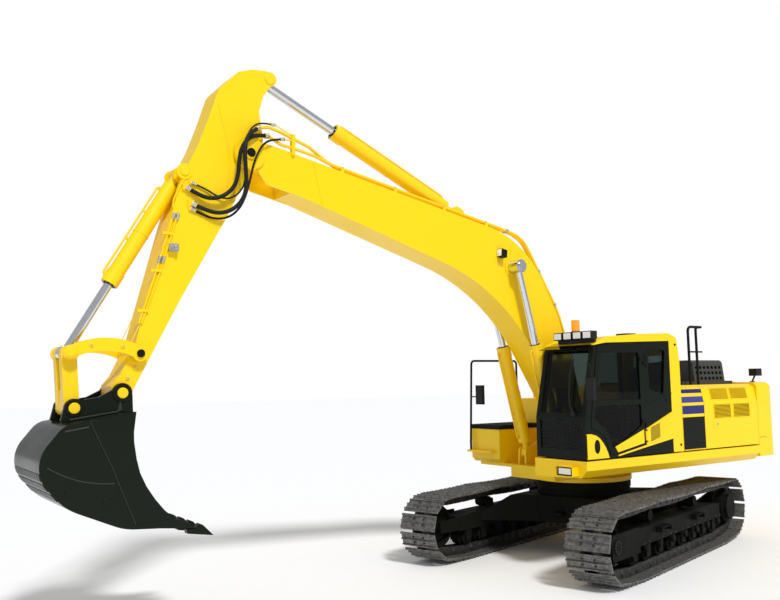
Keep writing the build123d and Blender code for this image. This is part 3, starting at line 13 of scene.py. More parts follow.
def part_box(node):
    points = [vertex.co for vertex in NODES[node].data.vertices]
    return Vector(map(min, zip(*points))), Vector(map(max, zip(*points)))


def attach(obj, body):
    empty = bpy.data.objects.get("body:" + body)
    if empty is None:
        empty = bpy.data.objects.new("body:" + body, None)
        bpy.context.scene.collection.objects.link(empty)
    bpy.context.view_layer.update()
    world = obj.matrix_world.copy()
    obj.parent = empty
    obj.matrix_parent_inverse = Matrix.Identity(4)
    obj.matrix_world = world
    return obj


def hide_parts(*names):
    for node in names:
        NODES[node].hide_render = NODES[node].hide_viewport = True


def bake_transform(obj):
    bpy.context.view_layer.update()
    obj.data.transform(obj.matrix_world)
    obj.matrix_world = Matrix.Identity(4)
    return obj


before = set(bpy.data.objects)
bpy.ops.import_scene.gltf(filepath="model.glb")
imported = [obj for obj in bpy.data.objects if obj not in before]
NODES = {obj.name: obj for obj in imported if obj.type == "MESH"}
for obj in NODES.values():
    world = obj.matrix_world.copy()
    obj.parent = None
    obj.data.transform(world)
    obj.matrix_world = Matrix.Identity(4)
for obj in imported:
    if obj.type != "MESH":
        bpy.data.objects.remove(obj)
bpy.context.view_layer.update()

TURN = math.radians(16)
UP = Vector((0, 0, 1))


# Camera: where the photograph was taken from
EYE = (9.578, 9.195, 2.54)
YAW, PITCH, ROLL = (math.radians(a) for a in (-124.88, 6.098, -1.042))
PHOTO_WIDTH = 780
FOCAL_PIXELS = 841.533
SENSOR = 36.0
FAR_CLIP = 200
SHIFT = (-0.0239, -0.0092)


def make_camera():
    look = Vector((math.cos(PITCH) * math.cos(YAW), math.cos(PITCH) * math.sin(YAW), math.sin(PITCH)))
    right = look.cross(UP).normalized()
    top = right.cross(look)
    across = right * math.cos(ROLL) + top * math.sin(ROLL)
    upward = top * math.cos(ROLL) - right * math.sin(ROLL)
    data = bpy.data.cameras.new("camera")
    data.sensor_width = SENSOR
    data.lens = FOCAL_PIXELS / PHOTO_WIDTH * SENSOR
    data.shift_x, data.shift_y = SHIFT
    data.clip_end = FAR_CLIP
    camera = bpy.data.objects.new("camera", data)
    turn = Matrix((across, upward, -look)).transposed().to_4x4()
    camera.matrix_world = Matrix.Translation(EYE) @ turn
    bpy.context.scene.collection.objects.link(camera)
    bpy.context.scene.camera = camera


# Materials
class Look:
    """A material being built, with textures on object coordinates, which are row-frame metres here."""

    def __init__(self, name):
        self.made = bpy.data.materials.new(name)
        self.made.use_nodes = True
        self.nodes, self.links = self.made.node_tree.nodes, self.made.node_tree.links
        self.shader = self.nodes["Principled BSDF"]

    def texture(self, kind, scale, **settings):
        place = self.nodes.new("ShaderNodeTexCoord")
        made = self.nodes.new("ShaderNodeTex" + kind)
        for key, value in {"Scale": scale, **settings}.items():
            made.inputs[key].default_value = value
        self.links.new(place.outputs["Object"], made.inputs["Vector"])
        return made.outputs["Fac"]

    def drive(self, target, source, *stops):
        """One input follows a texture through a ramp with two stops: a place, and a colour or a value."""
        made = self.nodes.new("ShaderNodeValToRGB")
        for slot, (place, shade) in zip(made.color_ramp.elements, stops):
            slot.position = place
            slot.color = (*shade, 1) if isinstance(shade, (tuple, list)) else (shade, shade, shade, 1)
        self.links.new(source, made.inputs["Fac"])
        self.links.new(made.outputs["Color"], self.shader.inputs[target])

    def bump(self, source, strength, distance):
        made = self.nodes.new("ShaderNodeBump")
        made.inputs["Strength"].default_value = strength
        made.inputs["Distance"].default_value = distance
        self.links.new(source, made.inputs["Height"])
        self.links.new(made.outputs["Normal"], self.shader.inputs["Normal"])

    def done(self, **values):
        """Plain inputs are set by name, with an underscore for each space."""
        for key, value in values.items():
            self.shader.inputs[key.replace("_", " ")].default_value = value
        return self.made


def paint(name, colour, roughness, coat, dust, dust_colour=(0.5, 0.42, 0.28), ripple=0.03, shine=0.1):
    """Sprayed paint: a little uneven, with a thin veil of dust in soft patches."""
    look = Look(name)
    cloud = look.texture("Noise", 1.7, Detail=6.0, Roughness=0.62)
    dusty = [c * (1 - dust) + d * dust for c, d in zip(colour, dust_colour)]
    look.drive("Base Color", cloud, (0.35, colour), (0.8, dusty))
    look.drive("Roughness", cloud, (0.3, roughness * 0.85), (0.75, min(1, roughness * 1.35)))
    look.bump(look.texture("Noise", 260.0, Detail=2.0), ripple, 0.0006)
    return look.done(Specular_IOR_Level=shine, Coat_Weight=coat, Coat_Roughness=0.12)


def rough_steel(name, dark, light, metallic=0.7, low=0.42, high=0.75, grain=18.0, depth=0.0015):
    """Bare or worn steel: blotched colour and roughness with a cast skin."""
    look = Look(name)
    blotch = look.texture("Noise", grain, Detail=8.0, Roughness=0.7)
    look.drive("Base Color", blotch, (0.3, dark), (0.72, light))
    look.drive("Roughness", blotch, (0.3, high), (0.7, low))
    look.bump(look.texture("Noise", grain * 9, Detail=4.0), 0.25, depth)
    return look.done(Metallic=metallic)


def plain(name, colour, roughness, metallic=0.0, grain=400.0, strength=0.08):
    """Moulded plastic or rubber with a fine grain."""
    look = Look(name)
    speck = look.texture("Noise", grain, Detail=3.0)
    look.drive("Base Color", speck, (0.35, colour), (0.7, [c * 1.25 + 0.004 for c in colour]))
    look.bump(speck, strength, 0.0005)
    return look.done(Roughness=roughness, Metallic=metallic, Specular_IOR_Level=0.2)


def chrome():
    look = Look("chrome rod")
    brushed = look.texture("Noise", 60.0, Detail=2.0)
    look.drive("Base Color", brushed, (0.3, (0.62, 0.64, 0.67)), (0.7, (0.75, 0.77, 0.8)))
    return look.done(Metallic=1.0, Roughness=0.13)


def glass(name, colour):
    look = Look(name)
    wave = look.texture("Noise", 1.4, Detail=1.0)
    look.drive("Base Color", wave, (0.3, colour), (0.8, [c * 0.85 for c in colour]))
    return look.done(Transmission_Weight=1.0, Roughness=0.02, IOR=1.18)


def cloth(name, colour):
    look = Look(name)
    weave = look.texture("Wave", 260.0, Distortion=0.6, Detail=1.0)
    look.drive("Base Color", weave, (0.2, colour), (0.8, [c * 1.7 for c in colour]))
    look.bump(weave, 0.3, 0.0012)
    return look.done(Roughness=0.9, Sheen_Weight=0.3)


def lamp_glass(name, colour, glow):
    look = Look(name)
    ribs = look.texture("Wave", 45.0, Distortion=0.2)
    look.drive("Base Color", ribs, (0.2, colour), (0.8, [min(1, c * 1.3) for c in colour]))
    look.bump(ribs, 0.2, 0.002)
    return look.done(Roughness=0.12, Coat_Weight=0.8, Emission_Color=(*colour, 1), Emission_Strength=glow)


SOOT = (0.05, 0.05, 0.045)
YELLOW = paint("yellow paint", (1.0, 0.66, 0.0), 0.36, 0.16, 0.05, (0.9, 0.55, 0.02), shine=0.3)
BLACK = paint("black paint", (0.008, 0.01, 0.008), 0.42, 0.0, 0.03, SOOT)
CAB_BLACK = paint("cab black paint", (0.005, 0.008, 0.005), 0.3, 0.03, 0.02, (0.04, 0.04, 0.035))
UNDER = paint(
    "undercarriage paint", (0.006, 0.007, 0.005), 0.6, 0.0, 0.15, (0.03, 0.03, 0.025), ripple=0.2, shine=0.06
)
BUCKET = paint("bucket paint", (0.006, 0.01, 0.005), 0.22, 0.06, 0.02, (0.05, 0.045, 0.03))
BUCKET_EDGE = paint("bucket edges", (0.035, 0.038, 0.034), 0.4, 0.05, 0.05, (0.12, 0.12, 0.11), shine=0.2)
BLUE = paint("deep blue film", (0.008, 0.013, 0.15), 0.35, 0.1, 0.02, shine=0.3)
VIOLET = paint("pale blue film", (0.045, 0.048, 0.26), 0.35, 0.1, 0.02, shine=0.3)
# painted shade: a near-black matte sheet laid in openings and gaps, standing for the shade inside them
SHADOW = plain("painted shade in openings", (0.006, 0.006, 0.004), roughness=0.9)
SHOES = rough_steel("track shoe steel", (0.07, 0.067, 0.064), (0.3, 0.295, 0.285))
LINKS = rough_steel("track link steel", (0.02, 0.02, 0.018), (0.09, 0.088, 0.082))
ZINC = rough_steel("zinc plating", (0.42, 0.42, 0.42), (0.7, 0.7, 0.68), 0.9, 0.25, 0.4, 40, 0.0003)
RODS = chrome()
RUBBER = plain("hose rubber", (0.008, 0.01, 0.009), roughness=0.6, grain=900)
PLASTIC = plain("black plastic", (0.01, 0.011, 0.01), roughness=0.55)
GRIP = plain("grip pad", (0.02, 0.02, 0.019), roughness=0.95, grain=140.0, strength=0.8)
MESH = plain("guard mesh steel", (0.055, 0.056, 0.056), roughness=0.45, metallic=0.3)
TINTED = glass("tinted glass", (0.3, 0.36, 0.33))
DOOR_TINT = glass("door glass", (0.1, 0.13, 0.12))
VISOR = glass("tinted visor", (0.16, 0.16, 0.15))
CLOTH = cloth("seat cloth", (0.018, 0.018, 0.02))
LENS = lamp_glass("lamp lens", (0.75, 0.75, 0.72), 0.15)
AMBER = lamp_glass("amber lens", (0.9, 0.28, 0.01), 0.35)
ENGINE = rough_steel("engine casting", (0.1, 0.1, 0.1), (0.2, 0.2, 0.19), metallic=0.2)

NODE_LOOKS = {
    YELLOW: "revolving_frame counterweight house_frame tanks front_box cab_roof cab_side_panels "
    "left_front_door left_rear_door right_front_door right_rear_door boom arm bucket_levers bucket_link "
    "boom_cylinder_tubes arm_cylinder_tube bucket_cylinder_tube",
    UNDER: "car_body track_frame_left track_frame_right final_drive_left final_drive_right "
    "track_rollers_left track_rollers_right carrier_rollers_left carrier_rollers_right "
    "idler_left idler_right swing_bearing",
    BLACK: "intake_box front_box_lid front_handrail rear_handrail deck_lamp boom_lamp",
    CAB_BLACK: "cab_frame cab_door",
    MESH: "engine_hood",
    SHOES: "track_left track_right",
    BUCKET: "bucket bucket_teeth",
    RODS: "boom_cylinder_rods arm_cylinder_rod bucket_cylinder_rod",
    TINTED: "cab_glass",
    DOOR_TINT: "door_glass",
    ENGINE: "engine_block",
    PLASTIC: "cab_controls roof_lamps right_mirror rear_mirror cab_mirror",
    AMBER: "beacon",
}
SOFT_EDGE = 0.006
WELD_REACH = 0.00002
SHARP_ABOVE = 32
BEVELS = {
    "bucket_teeth": 0.008, "cab_glass": 0.001, "door_glass": 0.001, "cab_side_panels": 0.004, "beacon": 0.01,
    "counterweight": 0.02,
}


def finish_nodes():
    """Each CAD node keeps its mesh and gets its material and rounded edges."""
    for look, names in NODE_LOOKS.items():
        for name in names.split():
            node = NODES[name]
            node.data.materials.clear()
            node.data.materials.append(look)
            round_edges(node, BEVELS.get(name, SOFT_EDGE))


def round_edges(thing, width, weld=True):
    if weld:
        joined = thing.modifiers.new("weld", "WELD")
        joined.merge_threshold = WELD_REACH
    edge = thing.modifiers.new("edges", "BEVEL")
    edge.width = width
    edge.segments = 2
    edge.limit_method = "ANGLE"
    edge.angle_limit = math.radians(SHARP_ABOVE)
    edge.use_clamp_overlap = True
    edge.harden_normals = False
    shade = thing.modifiers.new("shade", "WEIGHTED_NORMAL")
    shade.keep_sharp = True


# Mesh building
class Piece:
    """A mesh made of many small forms, which rides on one body with one material."""

    def __init__(self, name, body, look, slot=None, turned=False, bevel=0.0, smooth=35.0):
        self.name, self.body, self.look, self.slot = name, body, look, slot
        self.turned, self.bevel, self.smooth = turned, bevel, smooth
        self.mesh = bmesh.new()

    def add(self, points, faces):
        corners = [self.mesh.verts.new(p) for p in points]
        for face in faces:
            self.mesh.faces.new([corners[i] for i in face])

    def prism(self, outline, low, high, axis="y"):
        """A flat outline given a thickness along an axis. The outline is in the other two, in order."""
        def place(a, b, c):
            return {"y": (a, c, b), "z": (a, b, c), "x": (c, a, b)}[axis]
        count = len(outline)
        points = [place(a, b, low) for a, b in outline] + [place(a, b, high) for a, b in outline]
        faces = [list(range(count))[::-1], list(range(count, 2 * count))]
        faces += [[i, (i + 1) % count, (i + 1) % count + count, i + count] for i in range(count)]
        self.add(points, faces)
        return self

    def box(self, x, y, z):
        return self.prism([(x[0], y[0]), (x[1], y[0]), (x[1], y[1]), (x[0], y[1])], z[0], z[1], "z")

    def ring(self, centre, across, up, radius, count):
        angles = [i * (2 * math.pi / count) for i in range(count)]
        return [centre + (across * math.cos(a) + up * math.sin(a)) * radius for a in angles]

    def skin(self, rings, closed=False):
        """Faces from ring to ring, with a flat face at each end or closed on itself."""
        count = len(rings[0])
        faces = []
        for k in range(len(rings) if closed else len(rings) - 1):
            after = (k + 1) % len(rings) * count
            for i in range(count):
                j = (i + 1) % count
                faces.append([k * count + i, k * count + j, after + j, after + i])
        if not closed:
            faces.append(list(range(count))[::-1])
            faces.append([(len(rings) - 1) * count + i for i in range(count)])
        self.add([p for ring in rings for p in ring], faces)
        return self

    def lathe(self, start, direction, profile, count=24, closed=False):
        """A turned form: profile is (distance along, radius), from the start."""
        along = Vector(direction).normalized()
        across = along.orthogonal().normalized()
        up = along.cross(across)
        rings = [self.ring(Vector(start) + along * d, across, up, r, count) for d, r in profile]
        return self.skin(rings, closed)

    def hoop(self, start, direction, inner, outer, width, count=32):
        """A flat ring round an axis, open in the middle."""
        profile = [(0, inner), (0, outer), (width, outer), (width, inner)]
        return self.lathe(start, direction, profile, count, True)

    def rod(self, a, b, radius, count=16, chamfer=0.0):
        a, b = Vector(a), Vector(b)
        length = (b - a).length
        profile = [(0, radius), (length, radius)]
        if chamfer:
            less = radius - chamfer
            profile = [(0, less), (chamfer, radius), (length - chamfer, radius), (length, less)]
        return self.lathe(a, b - a, profile, count)

    def bolt(self, at, direction, radius=0.012, height=0.009, washer=True):
        """A hexagon head on a round washer."""
        direction = Vector(direction).normalized()
        at = Vector(at)
        if washer:
            self.lathe(at, direction, [(-0.001, radius * 1.45), (0.003, radius * 1.45)], 16)
        self.lathe(at, direction, [(0.002, radius), (height * 0.8, radius), (height, radius * 0.82)], 6)
        return self

    def tube(self, points, radius, count=12, bend=0.0, steps=5):
        """A round tube through points, with each corner turned at a bend radius."""
        path = rounded(points, bend, steps) if bend else [Vector(p) for p in points]
        across = None
        rings = []
        for i, p in enumerate(path):
            ahead = (path[min(i + 1, len(path) - 1)] - path[max(i - 1, 0)]).normalized()
            if across is None:
                across = ahead.orthogonal().normalized()
            across = (across - ahead * across.dot(ahead)).normalized()
            rings.append(self.ring(p, across, ahead.cross(across), radius, count))
        return self.skin(rings)

    def done(self):
        bmesh.ops.recalc_face_normals(self.mesh, faces=self.mesh.faces)
        data = bpy.data.meshes.new(self.name)
        if self.turned:
            self.mesh.transform(Matrix.Rotation(TURN, 4, "Z"))
        self.mesh.to_mesh(data)
        self.mesh.free()
        data.materials.append(self.look)
        data.polygons.foreach_set("use_smooth", [True] * len(data.polygons))
        data.set_sharp_from_angle(angle=math.radians(self.smooth))
        thing = bpy.data.objects.new(self.name, data)
        bpy.context.scene.collection.objects.link(thing)
        if self.bevel:
            round_edges(thing, self.bevel, weld=False)
        if self.body:
            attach(thing, self.body)
        return thing


def rounded(points, bend, steps):
    """The route through points, with each corner replaced by an arc."""
    points = [Vector(p) for p in points]
    route = [points[0]]
    for before, here, after in zip(points, points[1:], points[2:]):
        back = before - here
        ahead = after - here
        reach = min(bend, back.length * 0.48, ahead.length * 0.48)
        start = here + back.normalized() * reach
        end = here + ahead.normalized() * reach
        for k in range(steps + 1):
            t = k / steps
            route.append(start * (1 - t) ** 2 + here * 2 * t * (1 - t) + end * t * t)
    route.append(points[-1])
    return route


# Tracks: shoes, links and pins round the same line as the CAD loop
GAUGE = 2.59
SHOE_WIDTH = 0.6
WHEEL_X = 2.016
WHEEL_Z = 0.5
PIN_RADIUS = 0.35
GROUND_RUN = 3.0
CARRIER_X = 0.8
CARRIER_PIN = 0.864
SAG = 0.024
SHOE_COUNT = 48
PIN_Z = 0.104
ARC_STEPS, SLOPE_STEPS, SAG_STEPS = 40, 12, 24


def touch(x, z, above):
    gap_x, gap_z = WHEEL_X - x, WHEEL_Z - z
    reach = math.hypot(gap_x, gap_z)
    spread = math.asin(PIN_RADIUS / reach)
    lean = math.atan2(gap_z, gap_x) + (spread if above else -spread)
    length = math.sqrt(reach**2 - PIN_RADIUS**2)
    return (x + length * math.cos(lean), z + length * math.sin(lean))


def pin_line():
    """Evenly spaced pins, starting where the ground run starts, at the rear."""
    ramp_end = touch(GROUND_RUN / 2, PIN_Z, False)
    top_start = touch(CARRIER_X, CARRIER_PIN, True)
    half = [(GROUND_RUN / 2, PIN_Z), ramp_end]
    start = math.atan2(ramp_end[1] - WHEEL_Z, ramp_end[0] - WHEEL_X)
    end = math.atan2(top_start[1] - WHEEL_Z, top_start[0] - WHEEL_X)
    for k in range(1, ARC_STEPS + 1):
        angle = start + (end - start) * k / ARC_STEPS
        half.append((WHEEL_X + PIN_RADIUS * math.cos(angle), WHEEL_Z + PIN_RADIUS * math.sin(angle)))
    for k in range(1, SLOPE_STEPS + 1):
        t = k / SLOPE_STEPS
        x = top_start[0] + (CARRIER_X - top_start[0]) * t
        z = top_start[1] + (CARRIER_PIN - top_start[1]) * t - SAG / 2 * 4 * t * (1 - t)
        half.append((x, z))
    middle = []
    for k in range(1, SAG_STEPS):
        drop = SAG * 4 * k / SAG_STEPS * (1 - k / SAG_STEPS)
        middle.append((CARRIER_X * (1 - 2 * k / SAG_STEPS), CARRIER_PIN - drop))
    rear = (-GROUND_RUN / 2, PIN_Z)
    line = [rear] + half + middle + [(-x, z) for x, z in reversed(half[1:])] + [rear]
    lengths = [math.dist(a, b) for a, b in zip(line, line[1:])]
    step = sum(lengths) / SHOE_COUNT
    pins, done, k = [], 0.0, 0
    for number in range(SHOE_COUNT):
        goal = number * step
        while done + lengths[k] < goal:
            done += lengths[k]
            k += 1
        t = (goal - done) / lengths[k]
        (x, z), (next_x, next_z) = line[k], line[k + 1]
        pins.append(Vector((x + (next_x - x) * t, z + (next_z - z) * t)))
    return pins


# Outlines of a shoe and a link: share of the pitch along the line, and height outward from it
SHOE_PROFILE = [
    (-0.07, 0.066), (-0.02, 0.074), (0.045, 0.075), (0.07, 0.102), (0.105, 0.103), (0.145, 0.077),
    (0.4, 0.074), (0.465, 0.102), (0.505, 0.103), (0.55, 0.075), (0.8, 0.075), (0.845, 0.102),
    (0.885, 0.103), (0.915, 0.083), (0.955, 0.08), (0.955, 0.07), (0.9, 0.064), (0.82, 0.0605),
    (-0.02, 0.0605), (-0.07, 0.056),
]
LINK_PROFILE = [
    (-0.2, 0.02), (-0.14, 0.048), (0.06, 0.06), (0.86, 0.06), (1.08, 0.046), (1.19, 0.018), (1.2, -0.018),
    (1.08, -0.045), (0.9, -0.062), (0.12, -0.062), (-0.08, -0.046), (-0.19, -0.018),
]
LINK_LANES = (0.084, 0.08)
LINK_HALF = 0.02
BUSHING_IN, BUSHING_OUT, BUSHING_RADIUS = 0.05, 0.112, 0.036
PIN_HALF, PIN_ROD = 0.055, 0.03
SHOE_BOLTS = (0.28, 0.66)
BOLT_LANE, BOLT_SEAT = 0.085, 0.0735


def build_tracks():
    pins = pin_line()
    for side, hand in (("left", 1), ("right", -1)):
        middle = hand * GAUGE / 2
        shoes = Piece(f"track_shoes_{side}", "undercarriage", SHOES, "track_steel", turned=True, bevel=0.003)
        links = Piece(f"track_links_{side}", "undercarriage", LINKS, "track_steel", turned=True, bevel=0.004)
        bolts = Piece(f"track_bolts_{side}", "undercarriage", LINKS, "track_steel", turned=True)
        for number, pin in enumerate(pins):
            run = pins[(number + 1) % SHOE_COUNT] - pin
            out = Vector((run.y, -run.x)).normalized()

            def at(share, height):
                return tuple(pin + run * share + out * height)

            shoes.prism([at(s, h) for s, h in SHOE_PROFILE], middle - SHOE_WIDTH / 2, middle + SHOE_WIDTH / 2)
            centre = at(0, 0)
            for rail in (-1, 1):
                lane = middle + rail * LINK_LANES[number % 2]
                links.prism([at(s, h) for s, h in LINK_PROFILE], lane - LINK_HALF, lane + LINK_HALF)
                start, end = (middle + rail * y for y in (BUSHING_IN, BUSHING_OUT))
                links.rod((centre[0], start, centre[1]), (centre[0], end, centre[1]), BUSHING_RADIUS)
                for share in SHOE_BOLTS:
                    x, z = at(share, BOLT_SEAT)
                    y = middle + rail * BOLT_LANE
                    bolts.bolt((x, y, z), (out.x, 0, out.y), 0.015, 0.016, washer=False)
            start, end = middle - PIN_HALF, middle + PIN_HALF
            links.rod((centre[0], start, centre[1]), (centre[0], end, centre[1]), PIN_ROD, 12)
        made = shoes.done()
        links.done()
        bolts.done()
        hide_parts(f"track_{side}")


# Hoses across the arm joint: radius, length and control points from the boom fitting to the arm fitting
HOSES = {
    "hose_outer": (0.024, 1.587, [
        (5.505, 0.279, 5.541), (5.62, 0.358, 5.46), (5.7, 0.412, 5.33), (5.715, 0.432, 5.17),
        (5.7, 0.42, 5.01), (5.68, 0.402, 4.85), (5.69, 0.372, 4.695), (5.775, 0.335, 4.565),
        (5.915, 0.3, 4.49), (6.07, 0.265, 4.495), (6.21, 0.236, 4.558),
    ]),
    "hose_inner": (0.024, 1.455, [
        (5.388, 0.254, 5.485), (5.525, 0.295, 5.465), (5.645, 0.33, 5.385), (5.72, 0.335, 5.26),
        (5.745, 0.335, 5.115), (5.75, 0.33, 4.965), (5.785, 0.315, 4.82), (5.88, 0.3, 4.71),
        (6.01, 0.28, 4.65), (6.155, 0.255, 4.66), (6.281, 0.236, 4.733),
    ]),
    "hose_thin": (0.013, 1.678, [
        (5.19, 0.266, 5.468), (5.325, 0.288, 5.44), (5.435, 0.304, 5.36), (5.505, 0.318, 5.24),
        (5.555, 0.315, 5.11), (5.585, 0.315, 4.975), (5.615, 0.305, 4.835), (5.65, 0.29, 4.7),
        (5.71, 0.27, 4.57), (5.81, 0.25, 4.47), (5.945, 0.23, 4.43), (6.085, 0.22, 4.445),
        (6.215, 0.22, 4.5),
    ]),
    "hose_grease": (0.01, 1.675, [
        (5.295, 0.232, 5.645), (5.418, 0.24, 5.645), (5.53, 0.254, 5.588), (5.608, 0.274, 5.475),
        (5.656, 0.287, 5.345), (5.662, 0.291, 5.215), (5.646, 0.284, 5.085), (5.635, 0.275, 4.955),
        (5.66, 0.265, 4.83), (5.735, 0.25, 4.725), (5.85, 0.24, 4.67), (5.975, 0.23, 4.695),
        (6.09, 0.225, 4.76), (6.21, 0.22, 4.8),
    ]),
}
FERRULE_WALL = 0.0085
FERRULE = [
    (0, 0.003), (0.004, 0), (0.012, 0), (0.013, 0.0012), (0.015, 0.0012), (0.016, 0), (0.03, 0),
    (0.031, 0.0012), (0.033, 0.0012), (0.034, 0), (0.04, 0),
]


def smooth_line(name, points):
    """Points along the smooth line that a route's control points give."""
    curve = bpy.data.curves.new(name, "CURVE")
    curve.dimensions = "3D"
    line = curve.splines.new("NURBS")
    line.points.add(len(points) - 1)
    for spot, point in zip(line.points, points):
        spot.co = (*point, 1)
    line.order_u = 3
    line.use_endpoint_u = True
    line.resolution_u = 6
    guide = bpy.data.objects.new(name, curve)
    bpy.context.scene.collection.objects.link(guide)
    bpy.context.view_layer.update()
    traced = bpy.data.meshes.new_from_object(guide)
    path = [v.co.copy() for v in traced.vertices]
    bpy.data.objects.remove(guide)
    return path


def build_hoses():
    for name, (radius, length, points) in HOSES.items():
        path = smooth_line(f"{name}_line", points)
        hose = Piece(f"{name}_rubber", None, RUBBER, "hose_rubber").tube(path, radius, 16).done()
        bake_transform(hose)
        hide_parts(name)
    for body, first, second in (("boom", 0, 1), ("arm", -1, -2)):
        ends = Piece(f"hose_fittings_{body}", body, ZINC, bevel=0.001)
        for radius, _, points in HOSES.values():
            start = Vector(points[first])
            back = (start - Vector(points[second])).normalized()
            wide = radius + FERRULE_WALL
            collar = [(d, wide - less) for d, less in FERRULE]
            ends.lathe(start + back * 0.003, back, collar, 20)
            ends.lathe(start + back * 0.043, back, [(0, wide + 0.002), (0.017, wide + 0.002)], 6)
        ends.done()


# House: blue films, blank plate, louvres and latches on its left doors
# The side wall's half width, and where it bends inward at the top: height and half width
HOUSE_Y = 1.42
SHOULDER = [(2.16, 1.42), (2.385, 1.372), (2.43, 1.29)]
STRIPE_FRONT, STRIPE_REAR = -0.594, -1.094
DEEP_STRIPES = [(2.316, 2.373), (2.017, 2.137)]
PALE_STRIPES = [(2.18, 2.266)]
BLANK_PLATE = [(1.516, 1.973)]
FILM, PLATE_FILM, SHADOW_FILM, FRAME_FILM = 0.0015, 0.002, 0.0012, 0.007
# Front edge, lower edge, width and height of each louvre, and a slat's outline: out and up
LOUVRES = [
    (-1.29, 2.222, 0.42, 0.155), (-1.77, 2.222, 0.42, 0.155), (-1.33, 1.945, 0.4, 0.19),
    (-1.81, 1.945, 0.4, 0.19),
]
SLATS = 10
SLAT = [(-0.001, 0.013), (0.011, 0.005), (0.011, 0.0025), (-0.001, 0.008)]
LATCH = (-1.4, 1.842, 0.095, 0.06, 0.012)
LOCK = (-1.392, 1.845)
SEAM_Z, SEAM_X = (1.598, 1.604), (-2.62, -2.44)
LIFTING_BORE = (-2.72, 0.81, 2.449)
PAD_X, PAD_LENGTH, PAD_Y, PAD_Z = (0.2, 0.47, 0.74), 0.22, (-1.38, -0.79), (1.8652, 1.8672)


def house_y(z):
    if z <= SHOULDER[0][0]:
        return HOUSE_Y
    for (low, y0), (high, y1) in zip(SHOULDER, SHOULDER[1:]):
        if z <= high:
            return y0 + (y1 - y0) * (z - low) / (high - low)
    return SHOULDER[-1][1]


def film(piece, z_low, z_high, x_low, x_high, thick):
    """A thin sheet laid on the bent side wall."""
    levels = [z_low] + [z for z, _ in SHOULDER if z_low < z < z_high] + [z_high]
    outside = [(house_y(z) + thick, z) for z in levels]
    inside = [(house_y(z) - 0.001, z) for z in reversed(levels)]
    piece.prism(outside + inside, x_low, x_high, "x")


def oval(x, z, half_x, half_z, count=28):
    angles = [2 * math.pi * i / count for i in range(count)]
    return [(x + half_x * math.cos(a), z + half_z * math.sin(a)) for a in angles]


def rounded_box(x, z, half_x, half_z, corner, steps=4):
    """An outline in x and z with round corners."""
    outline = []
    for quarter, (sx, sz) in enumerate(((1, 1), (-1, 1), (-1, -1), (1, -1))):
        middle_x, middle_z = x + sx * (half_x - corner), z + sz * (half_z - corner)
        for k in range(steps + 1):
            angle = math.pi / 2 * (quarter + k / steps)
            outline.append((middle_x + corner * math.cos(angle), middle_z + corner * math.sin(angle)))
    return outline


def build_house():
    for name, look, bands, thick in (
        ("stripes_deep_blue", BLUE, DEEP_STRIPES, FILM), ("stripe_pale_blue", VIOLET, PALE_STRIPES, FILM),
        ("blank_plate", BLACK, BLANK_PLATE, PLATE_FILM),
    ):
        sheet = Piece(name, "left_front_door", look)
        for low, high in bands:
            film(sheet, low, high, STRIPE_REAR, STRIPE_FRONT, thick)
        sheet.done()
    slats = Piece("louvre_slats", "left_rear_door", YELLOW, bevel=0.0012)
    shade = Piece("louvre_shadow", "left_rear_door", SHADOW)
    for x, z, wide, high in LOUVRES:
        for k in range(SLATS):
            base = z + high * k / SLATS + 0.002
            y = house_y(base + 0.008)
            slats.prism([(y + out, base + up) for out, up in SLAT], x - wide, x, "x")
        film(shade, z - 0.004, z + high + 0.002, x - wide - 0.002, x + 0.002, SHADOW_FILM)
        for edge in (x - wide - 0.01, x):
            film(slats, z - 0.008, z + high + 0.006, edge, edge + 0.01, FRAME_FILM)
        for low in (z - 0.012, z + high):
            film(slats, low, low + 0.009, x - wide - 0.01, x + 0.01, FRAME_FILM)
    slats.done()
    shade.done()
    latch = Piece("door_latches", "left_rear_door", YELLOW, bevel=0.002)
    latch.prism(rounded_box(*LATCH), HOUSE_Y - 0.001, HOUSE_Y + 0.005)
    latch.done()
    lock = Piece("door_lock", "left_rear_door", ZINC)
    x, z = LOCK
    lock.lathe((x, HOUSE_Y + 0.004, z), (0, 1, 0), [(0, 0.02), (0.006, 0.02), (0.009, 0.015)], 20)
    lock.done()
    seams = Piece("counterweight_seam", "upper", SHADOW)
    low, high = SEAM_Z
    seams.prism([(1.4205, low), (1.4205, high), (1.415, high), (1.415, low)], *SEAM_X, "x")
    seams.done()
    caps = Piece("counterweight_bolts", "upper", BLACK, bevel=0.002)
    x, reach, z = LIFTING_BORE
    for y in (-reach, reach):
        caps.lathe((x, y, z), (0, 0, 1), [(0, 0.05), (0.004, 0.05), (0.006, 0.046)], 24)
    caps.done()
    pads = Piece("grip_pads", "front_box_lid", GRIP)
    for x in PAD_X:
        pads.box((x, x + PAD_LENGTH), PAD_Y, PAD_Z)
    pads.done()
    Piece("rail_steps", "upper", BLACK).rod((-1.21, 1.12, 2.93), (-1.53, 1.12, 2.93), 0.012).done()


# Cab: trims, handle, lamps, wiper, mirror arms and seat
CAB_Y = 1.42
PANEL_Y = 1.438
QUARTER_Y = 1.442
HINGE_X, HINGE_Y = 0.22, 1.432
DOOR_TRIM = [(0.262, 1.846), (0.852, 1.64), (0.8, 1.566), (0.262, 1.66)]
SILL_FRONT = [(0.222, 1.605), (0.222, 1.632), (0.8, 1.533), (0.792, 1.515)]
SILL_REAR = [(-0.345, 1.69), (-0.352, 1.742), (0.222, 1.641), (0.222, 1.605)]
RIBS, RIB_PITCH = 6, 0.033
VENTS, VENT_PITCH = 8, 0.0245
QUARTER_PANEL = [
    (1.396, 1.506), (1.396, 1.822), (1.3, 1.826), (1.225, 1.808), (1.16, 1.77), (1.1, 1.712),
    (1.05, 1.645), (1.012, 1.575), (0.988, 1.506),
]
PORTHOLE = (1.213, 1.664)
PORTHOLE_SIDES = 28
